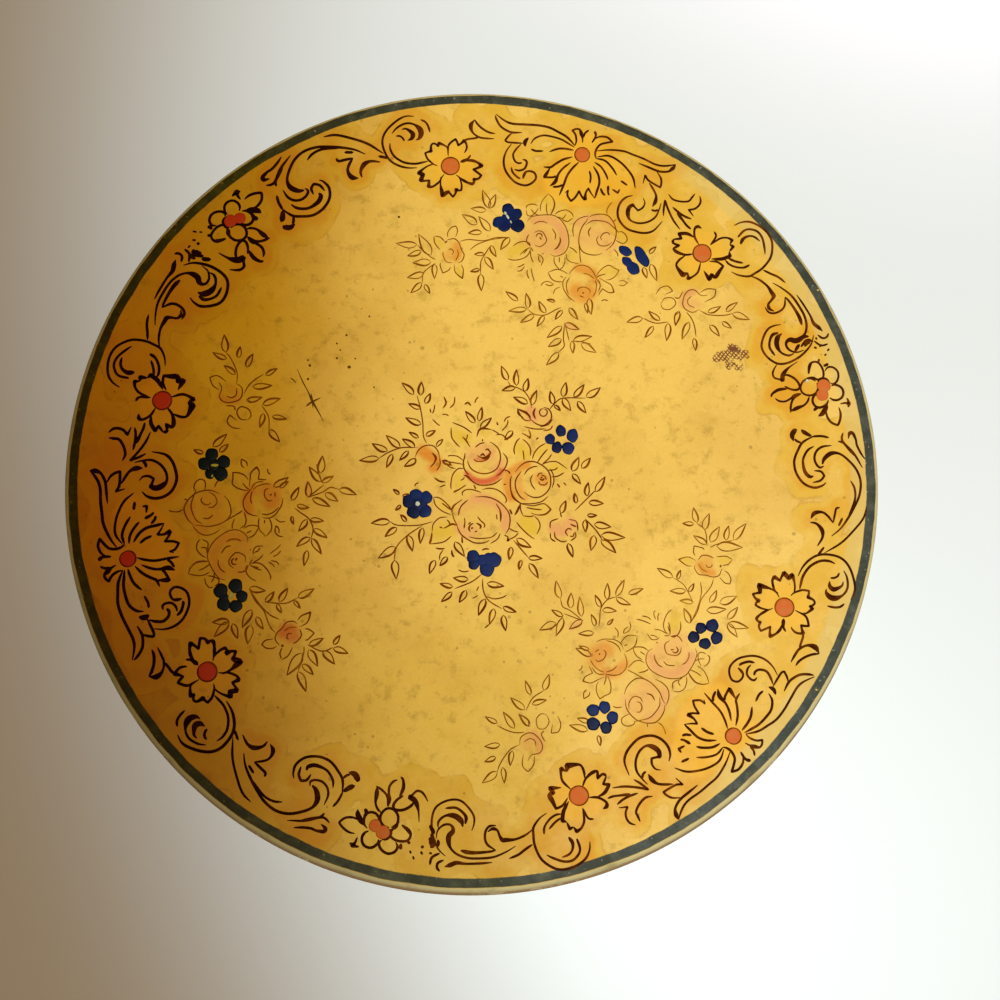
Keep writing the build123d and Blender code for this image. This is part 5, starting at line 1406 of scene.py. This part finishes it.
# The side and its two bands: strips of thin wood, steamed and bent, then painted. Each end is
# planed to a slant, and the ends lap over each other, glued and tacked. The side swells a little
# over its lap, and the bands lie close round its mouth and its foot.
SCARF_LENGTH = 38.0
SCARF_NIB = 0.5
SCARF_GAP = 0.12
SWELL_LENGTH = 42.0
LAP_END_PROUD = 0.45
STRIP_STEPS = 540
STEP_DEGREES = 0.02
SIDE_HEIGHT = 76
SIDE_ROUNDING = 0.25
SIDE_FACE_ROWS = 24
BAND_HEIGHT = 12
BAND_ROUNDING = 0.4
BAND_FACE_ROWS = 6
BAND_OUTER, BAND_INNER = 102.0, 100.4
HOOP_OUTER, HOOP_INNER = 100.35, 98.15
HOOP_LAP_AT, RIM_LAP_AT, FOOT_LAP_AT = 82.0, 128.0, 40.0
SIDE_YELLOW, SIDE_SHADE, SIDE_WORN = srgb(203, 166, 88), srgb(172, 128, 56), srgb(132, 96, 54)
BAND_CREAM, BAND_SHADE, BAND_WORN = srgb(214, 196, 150), srgb(188, 160, 104), srgb(140, 106, 62)
UNPAINTED_LIGHT, UNPAINTED_DARK = srgb(182, 140, 90), srgb(124, 86, 48)
PAINT_GLOSSY, WORN_DULL = 0.46, 0.72
# Where the paint is worn: a height on the side, and how far the wear reaches up and down from it
SIDE_WEAR = [(0, 6), (SIDE_HEIGHT, 5)]
BAND_WEAR = [(0, 2.5), (BAND_HEIGHT, 1.5), (SIDE_HEIGHT - BAND_HEIGHT, 1.5), (SIDE_HEIGHT, 2)]
# The radius up to which the bare wood inside a strip shows
SIDE_BARE_TO, BAND_BARE_TO = HOOP_INNER + 0.7, BAND_INNER + 0.3


def strip_section(inner, outer, bottom, top, rounding, face_rows):
    """A closed section round the strip: rounded corners, joined by straight faces with extra rows.
    Inner and outer radii change along the strip, so each section point is an array."""
    rounding = np.minimum(rounding, (outer - inner) * 0.45)
    rows = np.linspace(0, 1, face_rows + 2)[1:-1]
    arc = np.radians([0, 30, 60, 90])
    low, high = bottom + rounding, top - rounding
    points = [(outer - rounding + rounding * np.sin(a), low - rounding * np.cos(a)) for a in arc]
    points += [(outer, low * (1 - s) + high * s) for s in rows]
    points += [(outer - rounding + rounding * np.cos(a), high + rounding * np.sin(a)) for a in arc]
    points += [(inner + rounding - rounding * np.sin(a), high + rounding * np.cos(a)) for a in arc]
    points += [(inner, high * (1 - s) + low * s) for s in rows[::4]]
    points += [(inner + rounding - rounding * np.cos(a), low - rounding * np.sin(a)) for a in arc]
    return points


def bent_strip(inner, outer, bottom, top, lap_at, rounding, face_rows, swell=0.0):
    """One strip wound a full turn and a lap. Its outer end starts at the lap's angle, with the
    scarf's slant as its inside; it goes round and ends inside, with the slant as its outside."""
    lap = np.degrees(SCARF_LENGTH / outer)
    swell_angle = np.degrees(SWELL_LENGTH / outer)
    start, once_round, end = lap_at, lap_at + 360, lap_at + 360 + lap
    marks = [start, start + lap, start + lap + STEP_DEGREES, once_round - STEP_DEGREES, once_round, end]
    angle = np.unique(np.concatenate([marks, np.linspace(start, end, STRIP_STEPS)]))
    slant_out, slant_in = outer - SCARF_NIB, inner + SCARF_NIB
    inside = np.interp(angle, marks[:3], [slant_out, slant_in, inner])
    outside = np.interp(angle, marks[3:], [outer, slant_out - SCARF_GAP, slant_in - SCARF_GAP])
    outside += swell * np.clip(1 - (angle - start) / swell_angle, 0, 1)
    inside -= swell * np.clip(1 - (end - angle) / swell_angle, 0, 1)
    section = strip_section(inside, outside, bottom, top, rounding, face_rows)
    turn = np.radians(angle)
    rows = [np.column_stack([r * np.cos(turn), r * np.sin(turn), z + 0 * turn]) for r, z in section[::-1]]
    return skin(np.stack(rows, 1))


def bent_band(bottom, lap_at):
    """One of the two bands, which differ in their height on the side and in where they lap."""
    top = bottom + BAND_HEIGHT
    return bent_strip(BAND_INNER, BAND_OUTER, bottom, top, lap_at, BAND_ROUNDING, BAND_FACE_ROWS)


def aged_paint(name, paint, shade, worn, wear_places, bare_to):
    """Brushed oil paint on bent wood, rubbed through where the nearness to an edge and two kinds of
    noise add up. Bare wood shows inside the strip, where it was never painted."""
    material, tree, shader, place = new_material(name)
    x, y, z = add(tree, "SeparateXYZ", {0: place}).outputs
    angle = calc(tree, "ARCTAN2", y, x)
    flattened = add(tree, "VectorMath", {0: place, 1: (1, 1, 0)}, operation="MULTIPLY").outputs[0]
    radius = add(tree, "VectorMath", {0: flattened}, operation="LENGTH").outputs["Value"]
    wound = add(tree, "CombineXYZ", {0: times(tree, angle, 0.1), 1: radius, 2: z}).outputs[0]
    brush = cloud(tree, wound, 1.6, detail=4.0, stretch=(0.06, 1.0, 1.0))
    patches = cloud(tree, place, 14, detail=5.0, roughness=0.62)
    fine = cloud(tree, place, 0.7)
    color = mixed(tree, graded(tree, patches, 0.35, 0.72), paint, shade)
    color = mixed(tree, graded(tree, brush, 0.5, 0.8, 0.0, 0.45), color, shade)
    wear = None
    for level, spread in wear_places:
        apart = calc(tree, "ABSOLUTE", calc(tree, "SUBTRACT", z, level * MM))
        near = filled(tree, apart, 0.0, spread)
        wear = near if wear is None else calc(tree, "MAXIMUM", wear, near)
    rubbed = calc(tree, "ADD", times(tree, wear, 0.42), times(tree, patches, 0.75))
    worn_share = graded(tree, calc(tree, "ADD", rubbed, times(tree, fine, 0.12)), 0.66, 0.8)
    color = mixed(tree, worn_share, color, worn)
    grain = cloud(tree, wound, 0.9, detail=5.0, roughness=0.6, stretch=(0.03, 1.0, 1.0), shift=0.07)
    bare = mixed(tree, graded(tree, grain, 0.3, 0.75), UNPAINTED_LIGHT, UNPAINTED_DARK)
    is_inside = filled(tree, radius, bare_to - 0.1, bare_to + 0.1)
    color = mixed(tree, is_inside, color, bare)
    tree.links.new(color, shader.inputs["Base Color"])
    tree.links.new(graded(tree, worn_share, 0.0, 1.0, PAINT_GLOSSY, WORN_DULL), shader.inputs["Roughness"])
    bumped(tree, shader, calc(tree, "ADD", times(tree, brush, 0.7), fine), 0.08, 0.5)
    return material


side_paint = aged_paint(
    "aged yellow paint on the side", SIDE_YELLOW, SIDE_SHADE, SIDE_WORN, SIDE_WEAR, SIDE_BARE_TO
)
band_paint = aged_paint(
    "aged cream paint on the bands", BAND_CREAM, BAND_SHADE, BAND_WORN, BAND_WEAR, BAND_BARE_TO
)
side = bent_strip(
    HOOP_INNER, HOOP_OUTER, 0, SIDE_HEIGHT, HOOP_LAP_AT, SIDE_ROUNDING, SIDE_FACE_ROWS, swell=LAP_END_PROUD
)
piece("side_strip", [side], "box", side_paint, replaces=("body_hoop",))
rim = bent_band(SIDE_HEIGHT - BAND_HEIGHT, RIM_LAP_AT)
piece("rim_strip", [rim], "box", band_paint, replaces=("rim_band",))
foot = bent_band(0, FOOT_LAP_AT)
piece("foot_strip", [foot], "box", band_paint, replaces=("foot_band",))

# Bare wood inside and below: a round softwood base let into the foot of the side, the whittled
# pegs that hold it there, and the bent ring under the lid that drops into the mouth.
BASE_RADIUS = 98.1
BASE_CHAMFER = 0.5
BASE_RINGS = (1, 30, 60, 85, BASE_RADIUS - BASE_CHAMFER)
BASE_TURNS = 360
WOOD_STAIN = srgb(96, 66, 38)
WOOD_ROUGHNESS = 0.68
SOFTWOOD_LIGHT, SOFTWOOD_DARK = srgb(190, 148, 98), srgb(142, 100, 58)
RING_LIGHT, RING_DARK = srgb(186, 144, 92), srgb(136, 94, 52)
RING_GRAIN = (0.3, 0.3, 2.0)


def bare_wood(name, light, dark, along=(1.0, 0.06, 1.0), rings_mm=7.0):
    """Old softwood: growth rings cut lengthwise as wavering bands, with fine pores along them."""
    material, tree, shader, place = new_material(name)
    drift = cloud(tree, place, 45, detail=2.0)
    lines = add(tree, "VectorMath", {0: place, 1: along}, operation="MULTIPLY").outputs[0]
    bands = cloud(tree, lines, rings_mm, detail=2.0, shift=0.02)
    pores = cloud(tree, lines, 0.5, detail=4.0)
    share = calc(tree, "ADD", times(tree, bands, 0.75), times(tree, pores, 0.25))
    color = mixed(tree, graded(tree, share, 0.36, 0.64), light, dark)
    color = mixed(tree, graded(tree, drift, 0.45, 0.75, 0.0, 0.4), color, WOOD_STAIN)
    tree.links.new(color, shader.inputs["Base Color"])
    shader.inputs["Roughness"].default_value = WOOD_ROUGHNESS
    bumped(tree, shader, pores, 0.08, 0.5)
    return material


def dress(material, *node_names):
    """Gives this material to all slots of some CAD nodes, which stay as they are otherwise."""
    for node_name in node_names:
        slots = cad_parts[node_name].data.materials
        for index in range(len(slots)):
            slots[index] = material


softwood = bare_wood("bare old softwood", SOFTWOOD_LIGHT, SOFTWOOD_DARK)
ring_wood = bare_wood("bent ring wood", RING_LIGHT, RING_DARK, RING_GRAIN, rings_mm=4.0)
base_low, base_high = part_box("base_board")
bottom, top = base_low.z / MM, base_high.z / MM
base_profile = [(radius, bottom) for radius in BASE_RINGS]
base_profile += [(BASE_RADIUS, bottom + BASE_CHAMFER), (BASE_RADIUS, top - BASE_CHAMFER)]
base_profile += [(radius, top) for radius in BASE_RINGS[::-1]]
base = turned(base_profile, BASE_TURNS)
piece("base_floor", [base], "box", softwood, replaces=("base_board",), smooth=False)
dress(softwood, "base_pegs")
dress(ring_wood, "lid_ring")

# Tacks and brads: small forged iron nails, dark with age and rubbed by old paint. The tacks go
# through the laps and are clinched inside, and the brads hold the ring under the lid.
IRON_DARK = srgb(52, 44, 38)
IRON_RUST = srgb(112, 78, 50)
IRON_METALLIC = 0.55
IRON_ROUGHNESS = 0.55
old_iron, tree, shader, place = new_material("dark old iron")
patches = cloud(tree, place, 1.2, detail=4.0)
color = mixed(tree, graded(tree, patches, 0.4, 0.7), IRON_DARK, IRON_RUST)
tree.links.new(color, shader.inputs["Base Color"])
shader.inputs["Metallic"].default_value = IRON_METALLIC
shader.inputs["Roughness"].default_value = IRON_ROUGHNESS
bumped(tree, shader, patches, 0.08, 0.6)
dress(old_iron, "hoop_lap_tacks", "rim_band_tacks", "foot_band_tacks", "lid_ring_brads")
